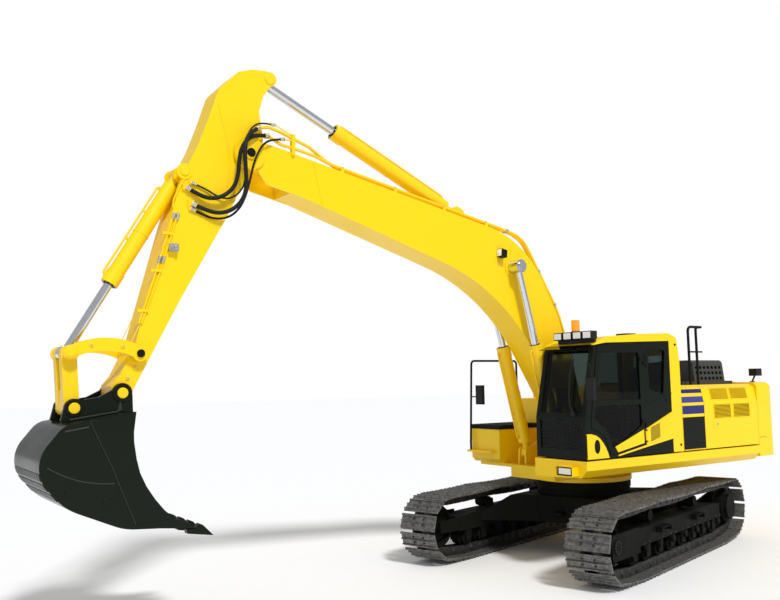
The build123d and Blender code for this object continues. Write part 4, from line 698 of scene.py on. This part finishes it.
CAB_BUTTONS = [(-0.493, 3.017), (-0.523, 1.595), (-0.25, 2.233), (1.085, 1.575)]
DOOR_HANDLE = (0.148, 2.785)
RAIL_SEAM = [(0.19, CAB_Y + 0.001, 2.16), (-0.372, CAB_Y + 0.001, 2.328)]
MIRROR_ARMS = [
    [(1.262, 1.414, 2.72), (1.36, 1.46, 2.76), (1.405, 1.53, 2.73), (1.41, 1.55, 2.56)],
    [(1.322, 1.414, 2.46), (1.39, 1.47, 2.42), (1.41, 1.52, 2.4)],
]
HINGE_LOW, HINGE_HIGH = 1.69, 1.826
LAMP_COUNT, LAMP_Y, LAMP_PITCH = 4, 0.8, 0.18
# Half width, bottom, top, rear and front
LAMP_FRAME = (0.078, 3.08, 3.186, 1.105, 1.224)
LAMP_LENS = (0.066, 3.092, 3.174, 1.222, 1.229)
VISOR_SHEET = [(1.182, 3.002), (1.345, 2.95), (1.347, 2.955), (1.184, 3.008)]
WIPER_ARM = [(1.412, 1.22, 2.09), (1.385, 1.13, 2.22), (1.33, 1.09, 2.5), (1.262, 1.13, 2.82)]
WIPER_BLADE = [(1.372, 1.115, 2.33), (1.318, 1.085, 2.6), (1.256, 1.1, 2.88)]
BEACON = (0.7, 0.64)
ROOF_VENT = [(-0.12, 3.15), (0.12, 3.15), (0.1, 3.192), (-0.1, 3.192)]


def build_cab():
    build_cab_side()
    build_door_hinge()
    build_lamps()
    build_cab_front()
    build_cab_roof()
    build_seat()


def build_cab_side():
    Piece("door_trim", "cab_door", YELLOW, bevel=0.003).prism(DOOR_TRIM, CAB_Y - 0.004, CAB_Y + 0.008).done()
    sill = Piece("sill_trim", "upper", YELLOW, bevel=0.002)
    sill.prism(SILL_FRONT, CAB_Y - 0.002, PANEL_Y - 0.006)
    sill.prism(SILL_REAR, CAB_Y - 0.002, PANEL_Y - 0.004)
    for k in range(RIBS):
        z = 1.822 + k * RIB_PITCH
        rib = [(-0.12, z), (-0.32, z + 0.034), (-0.32, z + 0.04), (-0.12, z + 0.006)]
        sill.prism(rib, PANEL_Y - 0.001, PANEL_Y + 0.003)
    sill.done()
    # the vent slots and the porthole are dark sheets of painted shade
    dark = Piece("cab_side_louvre_shade", "upper", SHADOW)
    for k in range(VENTS):
        z = 1.676 + k * VENT_PITCH
        vent = [(0.138, z), (-0.06, z + 0.058), (-0.06, z + 0.071), (0.138, z + 0.013)]
        dark.prism(vent, PANEL_Y - 0.001, PANEL_Y + 0.0015)
    dark.prism(oval(*PORTHOLE, 0.048, 0.086), QUARTER_Y - 0.002, QUARTER_Y + 0.0015)
    dark.done()
    quarter = Piece("quarter_panel", "upper", YELLOW, bevel=0.003)
    quarter.prism(QUARTER_PANEL, CAB_Y - 0.002, QUARTER_Y)
    quarter.done()
    rims = Piece("cab_side_rims", "upper", CAB_BLACK, bevel=0.0015)
    edge = oval(*PORTHOLE, 0.05, 0.088, PORTHOLE_SIDES)
    for k, (x, z) in enumerate(edge):
        next_x, next_z = edge[(k + 1) % PORTHOLE_SIDES]
        rims.rod((x, QUARTER_Y, z), (next_x, QUARTER_Y, next_z), 0.0035, 8)
    for x, z in CAB_BUTTONS:
        rims.lathe((x, CAB_Y, z), (0, 1, 0), [(0, 0.017), (0.008, 0.017), (0.011, 0.012)], 18)
    rims.prism(oval(*DOOR_HANDLE, 0.048, 0.098), CAB_Y - 0.001, CAB_Y + 0.008)
    rims.prism(oval(*DOOR_HANDLE, 0.028, 0.07), CAB_Y + 0.007, CAB_Y + 0.014)
    rims.tube(RAIL_SEAM, 0.005, 10)
    for points in MIRROR_ARMS:
        rims.tube(points, 0.011, 12, bend=0.06)
    rims.done()


def build_door_hinge():
    hinge = Piece("door_hinge_cover", "cab_door", YELLOW, bevel=0.002)
    hinge.rod((HINGE_X, HINGE_Y, HINGE_LOW), (HINGE_X, HINGE_Y, HINGE_HIGH), 0.019, 20, 0.003)
    hinge.done()
    ends = Piece("door_hinge_ends", "cab_door", PLASTIC)
    for low in (1.676, 1.824):
        ends.rod((HINGE_X, HINGE_Y, low), (HINGE_X, HINGE_Y, low + 0.016), 0.021, 20, 0.003)
    ends.done()


def build_lamps():
    lenses = Piece("work_lamp_lenses", "upper", LENS, bevel=0.003)
    frames = Piece("work_lamp_frames", "upper", PLASTIC, bevel=0.004)
    for number in range(LAMP_COUNT):
        y = LAMP_Y + LAMP_PITCH * number
        for piece, (half, low, high, rear, front) in ((frames, LAMP_FRAME), (lenses, LAMP_LENS)):
            outline = [(y - half, low), (y + half, low), (y + half, high), (y - half, high)]
            piece.prism(outline, rear, front, "x")
    lenses.box((1.489, 1.495), (1.0, 1.22), (1.305, 1.385))
    frames.done()
    lenses.done()
    guard = Piece("deck_lamp_guard", "upper", YELLOW, bevel=0.003)
    for low in (1.404, 1.276):
        guard.box((1.395, 1.52), (0.955, 1.262), (low, low + 0.01))
    for y in (0.955, 1.252):
        guard.box((1.395, 1.51), (y, y + 0.01), (1.276, 1.414))
    guard.done()


def build_cab_front():
    Piece("windscreen_visor", "upper", VISOR).prism(VISOR_SHEET, 0.55, 1.38).done()
    wiper = Piece("wiper", "upper", PLASTIC)
    wiper.tube(WIPER_ARM, 0.008, 10, bend=0.15)
    wiper.tube(WIPER_BLADE, 0.006, 8, bend=0.1)
    wiper.box((1.395, 1.42), (1.19, 1.25), (2.065, 2.115))
    wiper.done()


def build_cab_roof():
    base = Piece("beacon_base", "upper", PLASTIC)
    base.lathe((*BEACON, 3.14), (0, 0, 1), [(0, 0.082), (0.03, 0.082), (0.04, 0.07), (0.085, 0.066)], 28)
    for angle in range(0, 360, 90):
        lean = Vector((math.cos(math.radians(angle)), math.sin(math.radians(angle)), 0))
        foot = Vector((*BEACON, 3.14)) + lean * 0.15
        base.rod(foot, Vector((*BEACON, 3.235)) + lean * 0.06, 0.008, 10)
    base.done()
    Piece("roof_vent", "upper", PLASTIC, bevel=0.006).prism(ROOF_VENT, 0.86, 1.06).done()


PAD_SIDES, PAD_ROWS = 36, 20
SEAT_LEAN = -0.1


def cushion(name, centre, half, lean=0.0, power=0.42):
    """A crowned closed pad: a rounded block whose faces swell and whose corners pull in."""
    pad = Piece(name, "upper", CLOTH, smooth=80)
    rings = []
    for i in range(PAD_ROWS + 1):
        high = -math.pi / 2 + math.pi * i / PAD_ROWS
        c, s = math.cos(high), math.sin(high)
        rings.append([])
        for k in range(PAD_SIDES):
            turn = 2 * math.pi * k / PAD_SIDES
            flat = math.copysign(abs(c) ** power, c)
            x = flat * math.copysign(abs(math.cos(turn)) ** power, math.cos(turn))
            y = flat * math.copysign(abs(math.sin(turn)) ** power, math.sin(turn))
            z = math.copysign(abs(s) ** power, s)
            crown = 1 + 0.1 * (1 - x * x) * (1 - y * y)
            seam = 1 - 0.06 * math.exp(-((abs(y) - 0.55) / 0.05) ** 2)
            p = Vector((x * half[0], y * half[1], z * half[2] * crown * seam))
            p.rotate(Matrix.Rotation(lean, 3, "Y"))
            rings[-1].append(p + Vector(centre))
    pad.skin(rings)
    made = pad.done()
    return made


def build_seat():
    low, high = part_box("seat")
    middle = (low.y + high.y) / 2
    depth = high.x - low.x
    wide = (high.y - low.y) / 2 - 0.012
    pan = cushion("seat_cushion", (low.x + depth * 0.58, middle, low.z + 0.075), (depth * 0.4, wide, 0.066))
    back = (high.z - low.z - 0.16) / 2
    centre = (low.x + 0.105, middle, low.z + 0.145 + back * 0.86)
    rest = cushion("seat_back", centre, (0.058, wide * 0.92, back * 0.8), SEAT_LEAN)
    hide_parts("seat")
    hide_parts("seat")


# Front end: pins as x and z, caps, gland rings, pipes and clamps
BOOM_ROD_PIN, ARM_PIVOT, BOOM_TUBE_FOOT = (1.52, 4.155), (5.569, 5.251), (0.8, 1.47)
ARM_TUBE_FOOT, ARM_ROD_PIN, BUCKET_TUBE_FOOT = (2.386, 4.892), (5.292, 6.218), (6.341, 4.941)
BUCKET_PIN, LINK_PIN, LEVER_PIN, ROD_PIN = (6.999, 2.488), (7.476, 2.346), (6.829, 2.898), (7.521, 2.907)
BOOM_FOOT = (0.335, 2.005)


def toward(start, end, distance):
    run = math.dist(start, end)
    return tuple(a + (b - a) * distance / run for a, b in zip(start, end))


# Body, face's distance from the middle, pin, radius and look
PIN_CAPS = [
    ("boom", 0.282, ARM_PIVOT, 0.052, BLACK), ("boom", 0.24, BOOM_ROD_PIN, 0.13, YELLOW),
    ("arm", 0.2, BUCKET_TUBE_FOOT, 0.092, YELLOW), ("arm", 0.214, BUCKET_TUBE_FOOT, 0.052, YELLOW),
    ("arm", 0.2, ARM_ROD_PIN, 0.07, YELLOW), ("levers", 0.3124, LEVER_PIN, 0.043, BLACK),
    ("levers", 0.3004, ROD_PIN, 0.066, YELLOW), ("levers", 0.3104, ROD_PIN, 0.046, YELLOW),
    ("bucket", 0.258, BUCKET_PIN, 0.098, BLACK), ("bucket", 0.258, LINK_PIN, 0.09, BLACK),
    ("bucket", 0.27, BUCKET_PIN, 0.056, YELLOW), ("bucket", 0.27, LINK_PIN, 0.056, YELLOW),
    ("upper", 0.372, BOOM_FOOT, 0.06, BLACK),
]
CAP_THICK = 0.014
GREASE_BOSSES = {
    "arm": [(0.2, 6.858, 2.752), (0.2, 6.93, 2.646)],
    "levers": [(0.3004, 7.333, 2.984), (0.3004, 7.015, 2.973)],
}
BOSS = [(-0.002, 0.024), (0.01, 0.024), (0.013, 0.019)]
NIPPLE = [(0, 0.009), (0.006, 0.009), (0.008, 0.006), (0.014, 0.006)]


def build_pins():
    for number, (body, y, pin, radius, look) in enumerate(PIN_CAPS):
        piece = Piece(f"pin_cap_{number}_{body}", body, look, bevel=0.002)
        profile = [(-0.002, radius), (CAP_THICK * 0.7, radius), (CAP_THICK, radius * 0.9)]
        for hand in (-1, 1):
            piece.lathe((pin[0], hand * y, pin[1]), (0, hand, 0), profile, 28)
        piece.done()
    for body, places in GREASE_BOSSES.items():
        bosses = Piece(f"grease_bosses_{body}", body, YELLOW, bevel=0.001)
        nipples = Piece(f"grease_nipples_{body}", body, ZINC)
        for y, x, z in places:
            for hand in (-1, 1):
                bosses.lathe((x, hand * y, z), (0, hand, 0), BOSS, 20)
                nipples.lathe((x, hand * (y + 0.012), z), (0, hand, 0), NIPPLE, 12)
        bosses.done()
        nipples.done()


# Label, tube's body, foot and rod pins, lanes, tube and rod radius, length to the gland, side of the pipe
CYLINDERS = [
    ("boom_cylinder", "boom_tubes", BOOM_TUBE_FOOT, BOOM_ROD_PIN, (-0.35, 0.35), 0.095, 0.052, 1.63, 1),
    ("arm_cylinder", "arm_tube", ARM_TUBE_FOOT, ARM_ROD_PIN, (0.0,), 0.1, 0.055, 2.116, -1),
    ("bucket_cylinder", "bucket_tube", BUCKET_TUBE_FOOT, ROD_PIN, (0.0,), 0.088, 0.048, 1.49, -1),
]
GLAND_BOLTS = 10
BAND_WIDTH = 0.025
PIPE_RADIUS, PIPE_LIFT, PIPE_BEND = 0.013, 0.03, 0.04
PIPE_FOOT = 0.26
PORT_RADIUS, HOLD_RADIUS = 0.024, 0.016


def build_cylinder(label, tube_body, foot, pin, lanes, radius, rod, gland, pipe_side):
    """Gland bolts, wiper ring, ports and a hard line on one cylinder size."""
    seal = Piece(f"{label}_wiper", tube_body, PLASTIC)
    bolts = Piece(f"{label}_gland_bolts", tube_body, ZINC)
    pipes = Piece(f"{label}_pipes", tube_body, YELLOW)
    start, end = toward(foot, pin, gland), toward(foot, pin, gland + 0.012)
    ahead = Vector((end[0] - start[0], 0, end[1] - start[1])).normalized()
    up = Vector((ahead.z, 0, -ahead.x)) * pipe_side
    for y in lanes:
        at = Vector((start[0], y, start[1]))
        seal.hoop(at, ahead, rod + 0.003, rod + 0.02, 0.01)
        for k in range(GLAND_BOLTS):
            angle = 2 * math.pi * k / GLAND_BOLTS
            spoke = Vector((0, 1, 0)) * math.cos(angle) + up * math.sin(angle)
            bolts.bolt(at + spoke * (radius - 0.014), ahead, 0.009, 0.009, washer=False)
        for distance, proud in ((gland - 0.152, 0.009), (gland * 0.55, 0.004)):
            x, z = toward(foot, pin, distance)
            pipes.hoop((x, y, z), ahead, radius - 0.004, radius + proud, BAND_WIDTH)
        lift = radius + PIPE_LIFT
        near, far = (
            Vector((x, y, z)) for x, z in (toward(foot, pin, gland - 0.075), toward(foot, pin, PIPE_FOOT))
        )
        route = [near + up * (radius - 0.01), near + up * lift, far + up * lift, far + up * (radius - 0.012)]
        pipes.tube(route, PIPE_RADIUS, 12, bend=PIPE_BEND)
        for spot in (near, far):
            pipes.rod(spot + up * (radius - 0.012), spot + up * (radius + 0.014), PORT_RADIUS, 16, 0.002)
        for share in (0.3, 0.62):
            hold = far.lerp(near, share)
            low, high = hold + up * (radius - 0.008), hold + up * (lift + 0.006)
            pipes.rod(low - ahead * 0.02, high - ahead * 0.02, HOLD_RADIUS, 12, 0.002)
    seal.done()
    bolts.done()
    pipes.done()


CLAMP_X = (1.96, 2.7, 3.5, 4.3)
CLAMP_Y = (0.107, 0.16, 0.213)
BOOM_TOP, BOOM_RISE = (1.258, 4.574), 0.738 / 3.65
TOP_NORMAL = (-0.198, 0, 0.98)
BOOM_WELD_Y, ARM_WELD_Y, WELD_RADIUS = 0.2365, 0.2015, 0.005
BOOM_WELDS = [[(1.62, 4.02), (1.5, 4.52)], [(4.6, 4.72), (4.72, 5.24)], [(0.62, 2.3), (0.36, 2.42)]]
REAR_LINE_Y, REAR_CLAMP_Y = (0.13, 0.19), 0.16
REAR_LINE = [
    (1.905, 4.76), (1.42, 4.662), (1.225, 4.56), (0.99, 4.19), (0.6, 3.56), (0.42, 3.05), (0.24, 2.4),
]
# Place and lean of each clamp
REAR_CLAMPS = [(1.56, 4.69, 0.2), (0.96, 4.14, 1.02), (0.66, 3.66, 1.02), (0.33, 2.73, 1.3)]
BOOM_LENS = [(1.799, 4.297), (1.803, 4.297), (1.796, 4.392), (1.792, 4.392)]
ARM_PIPE_Y = 0.214
ARM_NUTS = [(6.405, 4.455), (6.452, 4.455), (6.56, 3.96), (6.605, 3.96)]
ARM_PIPE_CLIPS = [(6.5, 4.22), (6.62, 3.8), (6.76, 3.36)]


def build_boom():
    clamps = Piece("line_clamps", "boom", ZINC, bevel=0.001)
    for x in CLAMP_X:
        top = BOOM_TOP[1] + (x - BOOM_TOP[0]) * BOOM_RISE + 0.06
        for y in CLAMP_Y:
            clamps.bolt((x, y, top), TOP_NORMAL, 0.011, 0.012)
        clamps.box((x - 0.02, x + 0.02), (0.1, 0.22), (top - 0.001, top + 0.004))
    clamps.done()
    welds = Piece("boom_welds", "boom", YELLOW)
    for hand in (-1, 1):
        for bead in BOOM_WELDS:
            welds.tube([(x, hand * BOOM_WELD_Y, z) for x, z in bead], WELD_RADIUS, 8)
    welds.done()
    lines = Piece("boom_rear_lines", "boom", YELLOW)
    holds = Piece("boom_rear_clamps", "boom", ZINC, bevel=0.001)
    for y in REAR_LINE_Y:
        lines.tube([(x, y, z) for x, z in REAR_LINE], 0.02, 14, bend=0.16)
    for x, z, lean in REAR_CLAMPS:
        along = Vector((-math.cos(lean), 0, -math.sin(lean)))
        for y in REAR_LINE_Y:
            centre = Vector((x, y, z))
            holds.rod(centre - along * 0.022, centre + along * 0.022, 0.026, 16)
        holds.bolt((x, REAR_CLAMP_Y, z), (0, 1, 0), 0.01, 0.05, washer=False)
    lines.done()
    holds.done()
    Piece("boom_lamp_lens", "boom", LENS, bevel=0.002).prism(BOOM_LENS, 0.245, 0.335).done()


def build_arm():
    fittings = Piece("arm_pipe_fittings", "arm", ZINC, bevel=0.001)
    for x, z in ARM_NUTS:
        fittings.rod((x, ARM_PIPE_Y, z), (x + 0.022, ARM_PIPE_Y, z - 0.075), 0.019, 6)
    fittings.box((6.415, 6.52), (0.2, 0.262), (4.02, 4.105))
    valve = [(-0.004, 0.026), (0.02, 0.026), (0.022, 0.017), (0.04, 0.017)]
    fittings.lathe((6.445, 0.262, 4.062), (0, 1, 0), valve, 20)
    fittings.lathe((6.495, 0.262, 4.062), (0, 1, 0), [(-0.004, 0.02), (0.018, 0.02)], 6)
    fittings.done()
    pipes = Piece("arm_pipes", "arm", YELLOW)
    for shift in (0.0, 0.045):
        route = [(6.43 + shift, 4.4), (6.6 + shift, 3.8), (6.8 + shift * 0.6, 3.22)]
        pipes.tube([(x, ARM_PIPE_Y, z) for x, z in route], 0.011, 12, bend=0.2)
    pipes.tube([(6.34, 0.21, 4.86), (6.47, 0.21, 4.6), (6.47, 0.21, 4.52)], 0.009, 10, bend=0.05)
    for x, z in ARM_PIPE_CLIPS:
        pipes.box((x - 0.03, x + 0.09), (0.198, 0.232), (z - 0.015, z + 0.015))
    pipes.done()
    welds = Piece("arm_side_welds", "arm", YELLOW)
    for hand in (-1, 1):
        y = hand * ARM_WELD_Y
        welds.tube([(5.95, y, 5.8), (5.8, y, 5.2), (5.86, y, 4.62)], WELD_RADIUS, 8, bend=0.1)
        welds.tube([(6.72, y, 3.42), (6.9, y, 3.02)], WELD_RADIUS, 8)
    welds.done()


# Bucket: side plates, welds, flanges and wear strips
SEAM = [(7.412, 2.224), (7.3, 1.99), (7.189, 1.758), (7.07, 1.47), (6.952, 1.192)]
MOUTH = [
    (6.56, 1.215), (6.66, 1.3), (6.76, 1.42), (6.85, 1.555), (6.915, 1.69), (6.952, 1.83), (6.98, 2.0),
    (6.985, 2.15), (6.972, 2.27),
]
CREASE = [
    (7.79, 1.8), (7.7, 1.745), (7.581, 1.687), (7.48, 1.652), (7.399, 1.632), (7.28, 1.612),
    (7.165, 1.607),
]
# Place and radius
ROUND_MARKS = [(7.59, 1.556, 0.034), (7.225, 1.424, 0.048)]
SIDE_Y = 0.62
SIDE_FLANGE = [(7.64, 2.14), (7.415, 2.176), (7.418, 2.16), (7.643, 2.124)]
EAR_FLANGE = [(7.52, 2.222), (7.04, 2.292), (7.042, 2.308), (7.522, 2.24)]
EAR_GUSSET = [(7.048, 2.3), (7.0, 2.306), (7.01, 2.396), (7.026, 2.396)]
EAR_FLANGE_Y, EAR_GUSSET_Y = (0.256, 0.3), (0.255, 0.266)
WEAR_STRIPS = [(1.745, 1.675), (1.645, 1.575), (1.545, 1.475)]
STRIP_STEPS, STRIP_COUNT, STRIP_PITCH, STRIP_GAP = 4, 12, 0.1, 0.005
STRIP_SUNK, STRIP_PROUD = 0.002, 0.006
RAY_X, RAY_Y = 9.0, 0.05


def shell_point(z):
    """The point and outward direction of the bucket's back at a height, in its middle plane."""
    _, place, normal, _ = NODES["bucket"].ray_cast((RAY_X, RAY_Y, z), (-1, 0, 0))
    return Vector((place.x, place.z)), Vector((normal.x, normal.z))


def build_bucket():
    plates = Piece("bucket_side_plates", "bucket", BUCKET, bevel=0.002)
    beads = Piece("bucket_welds", "bucket", BUCKET_EDGE)
    flange = Piece("bucket_flanges", "bucket", BUCKET_EDGE, bevel=0.003)
    caps = Piece("bucket_marks", "bucket", BUCKET, bevel=0.002)
    for hand in (-1, 1):
        low, high = sorted((hand * (SIDE_Y - 0.003), hand * (SIDE_Y + 0.009)))
        plates.prism(MOUTH + SEAM, low, high)
        beads.tube([(x, hand * (SIDE_Y + 0.009), z) for x, z in SEAM], 0.004, 8)
        beads.tube([(x, hand * SIDE_Y, z) for x, z in CREASE], 0.006, 8, bend=0.05)
        for x, z, radius in ROUND_MARKS:
            profile = [(-0.002, radius), (0.005, radius), (0.008, radius - 0.005)]
            caps.lathe((x, hand * SIDE_Y, z), (0, hand, 0), profile, 28)
        flange.prism(SIDE_FLANGE, low, high)
        flange.prism(EAR_FLANGE, *sorted(hand * y for y in EAR_FLANGE_Y))
        flange.prism(EAR_GUSSET, *sorted(hand * y for y in EAR_GUSSET_Y))
    for high, low in WEAR_STRIPS:
        levels = [high + (low - high) * k / STRIP_STEPS for k in range(STRIP_STEPS + 1)]
        spots = [shell_point(z) for z in levels]
        inner = [tuple(p - n * STRIP_SUNK) for p, n in spots]
        outer = [tuple(p + n * STRIP_PROUD) for p, n in spots]
        for k in range(STRIP_COUNT):
            y = -0.6 + k * STRIP_PITCH
            flange.prism(inner + outer[::-1], y + STRIP_GAP, y + STRIP_PITCH - STRIP_GAP)
    plates.done()
    beads.done()
    flange.done()
    caps.done()


# Undercarriage: bolts, hub covers and side steps on the turned track frames
HUB_FACE, FRAME_FACE = 0.172, 0.166
HUBS = ((-WHEEL_X, 0.15), (WHEEL_X, 0.09))
HUB_BOLTS = 12
ROLLER_COUNT, ROLLER_X, ROLLER_PITCH, ROLLER_Z = 8, -1.54, 0.44, 0.345
ROLLER_CAP = [(-0.03, 0.052), (0.016, 0.052), (0.022, 0.044)]
ROLLER_BOLT_Z = 0.415
STEP_X, STEP_HALF, STEP_IN = (-0.62, 0.62), 0.16, 0.165
def build_undercarriage():
    covers = Piece("hub_covers", "undercarriage", UNDER, turned=True, bevel=0.004)
    bolts = Piece("hub_bolts", "undercarriage", LINKS, turned=True)
    for hand in (-1, 1):
        middle = hand * GAUGE / 2
        face = middle + hand * HUB_FACE
        for x, radius in HUBS:
            rim, lip = radius * 1.2, radius * 0.85
            hub = [(-0.05, rim), (0.0, rim), (0.01, radius), (0.03, radius), (0.04, lip)]
            covers.lathe((x, face, WHEEL_Z), (0, hand, 0), hub, 36)
            for k in range(HUB_BOLTS):
                angle = 2 * math.pi * k / HUB_BOLTS
                spot_x, spot_z = math.cos(angle) * radius * 0.82, math.sin(angle) * radius * 0.82
                at = (x + spot_x, face + hand * 0.03, WHEEL_Z + spot_z)
                bolts.bolt(at, (0, hand, 0), 0.01, 0.012, washer=False)
        frame_y = middle + hand * FRAME_FACE
        for k in range(ROLLER_COUNT):
            x = ROLLER_X + k * ROLLER_PITCH
            covers.lathe((x, frame_y, ROLLER_Z), (0, hand, 0), ROLLER_CAP, 24)
            for shift in (-0.085, 0.085):
                bolts.bolt((x + shift, frame_y, ROLLER_BOLT_Z), (0, hand, 0), 0.012, 0.013)
        tread = sorted((middle + hand * STEP_IN, middle + hand * 0.262))
        foot = sorted((middle + hand * STEP_IN, middle + hand * 0.255))
        for x in STEP_X:
            covers.box((x - STEP_HALF, x + STEP_HALF), tread, (0.56, 0.574))
            for shift in (-STEP_HALF, 0.15):
                covers.box((x + shift, x + shift + 0.012), foot, (0.5, 0.562))
    covers.done()
    bolts.done()


# Stage: pale floor, white surroundings and a soft sun from the cab's side
FLOOR_REACH = 120
AMBIENT, AMBIENT_STRENGTH = (0.96, 0.98, 1.0, 1), 0.5
SUN_FROM, SUN_STRENGTH, SUN_ANGLE = (0.1, 0.72, 0.8), 2.3, 9


def build_stage():
    floor = bpy.data.meshes.new("floor")
    corners = [(x * FLOOR_REACH, y * FLOOR_REACH, 0) for x, y in ((-1, -1), (1, -1), (1, 1), (-1, 1))]
    floor.from_pydata(corners, [], [(0, 1, 2, 3)])
    thing = bpy.data.objects.new("floor", floor)
    bpy.context.scene.collection.objects.link(thing)
    look = Look("pale floor")
    speck = look.texture("Noise", 3.0, Detail=2.0)
    look.drive("Base Color", speck, (0.2, (0.975, 0.975, 0.975)), (0.8, (0.99, 0.99, 0.99)))
    floor.materials.append(look.done(Roughness=0.9))
    world = bpy.data.worlds.new("world")
    bpy.context.scene.world = world
    world.use_nodes = True
    nodes, links = world.node_tree.nodes, world.node_tree.links
    ambient = nodes["Background"]
    ambient.inputs["Color"].default_value = AMBIENT
    ambient.inputs["Strength"].default_value = AMBIENT_STRENGTH
    white = nodes.new("ShaderNodeBackground")
    white.inputs["Color"].default_value = (1, 1, 1, 1)
    white.inputs["Strength"].default_value = 1.0
    path = nodes.new("ShaderNodeLightPath")
    mix = nodes.new("ShaderNodeMixShader")
    links.new(path.outputs["Is Camera Ray"], mix.inputs["Fac"])
    links.new(ambient.outputs["Background"], mix.inputs[1])
    links.new(white.outputs["Background"], mix.inputs[2])
    links.new(mix.outputs["Shader"], nodes["World Output"].inputs["Surface"])
    sun = bpy.data.lights.new("sun", "SUN")
    sun.energy = SUN_STRENGTH
    sun.angle = math.radians(SUN_ANGLE)
    lamp = bpy.data.objects.new("sun", sun)
    lamp.rotation_euler = Vector(SUN_FROM).to_track_quat("Z", "Y").to_euler()
    bpy.context.scene.collection.objects.link(lamp)
    bpy.context.scene.view_settings.view_transform = "Standard"


make_camera()
build_hoses()
build_stage()
finish_nodes()
build_tracks()
build_undercarriage()
build_house()
build_cab()
build_pins()
for cylinder in CYLINDERS:
    build_cylinder(*cylinder)
build_boom()
build_arm()
build_bucket()
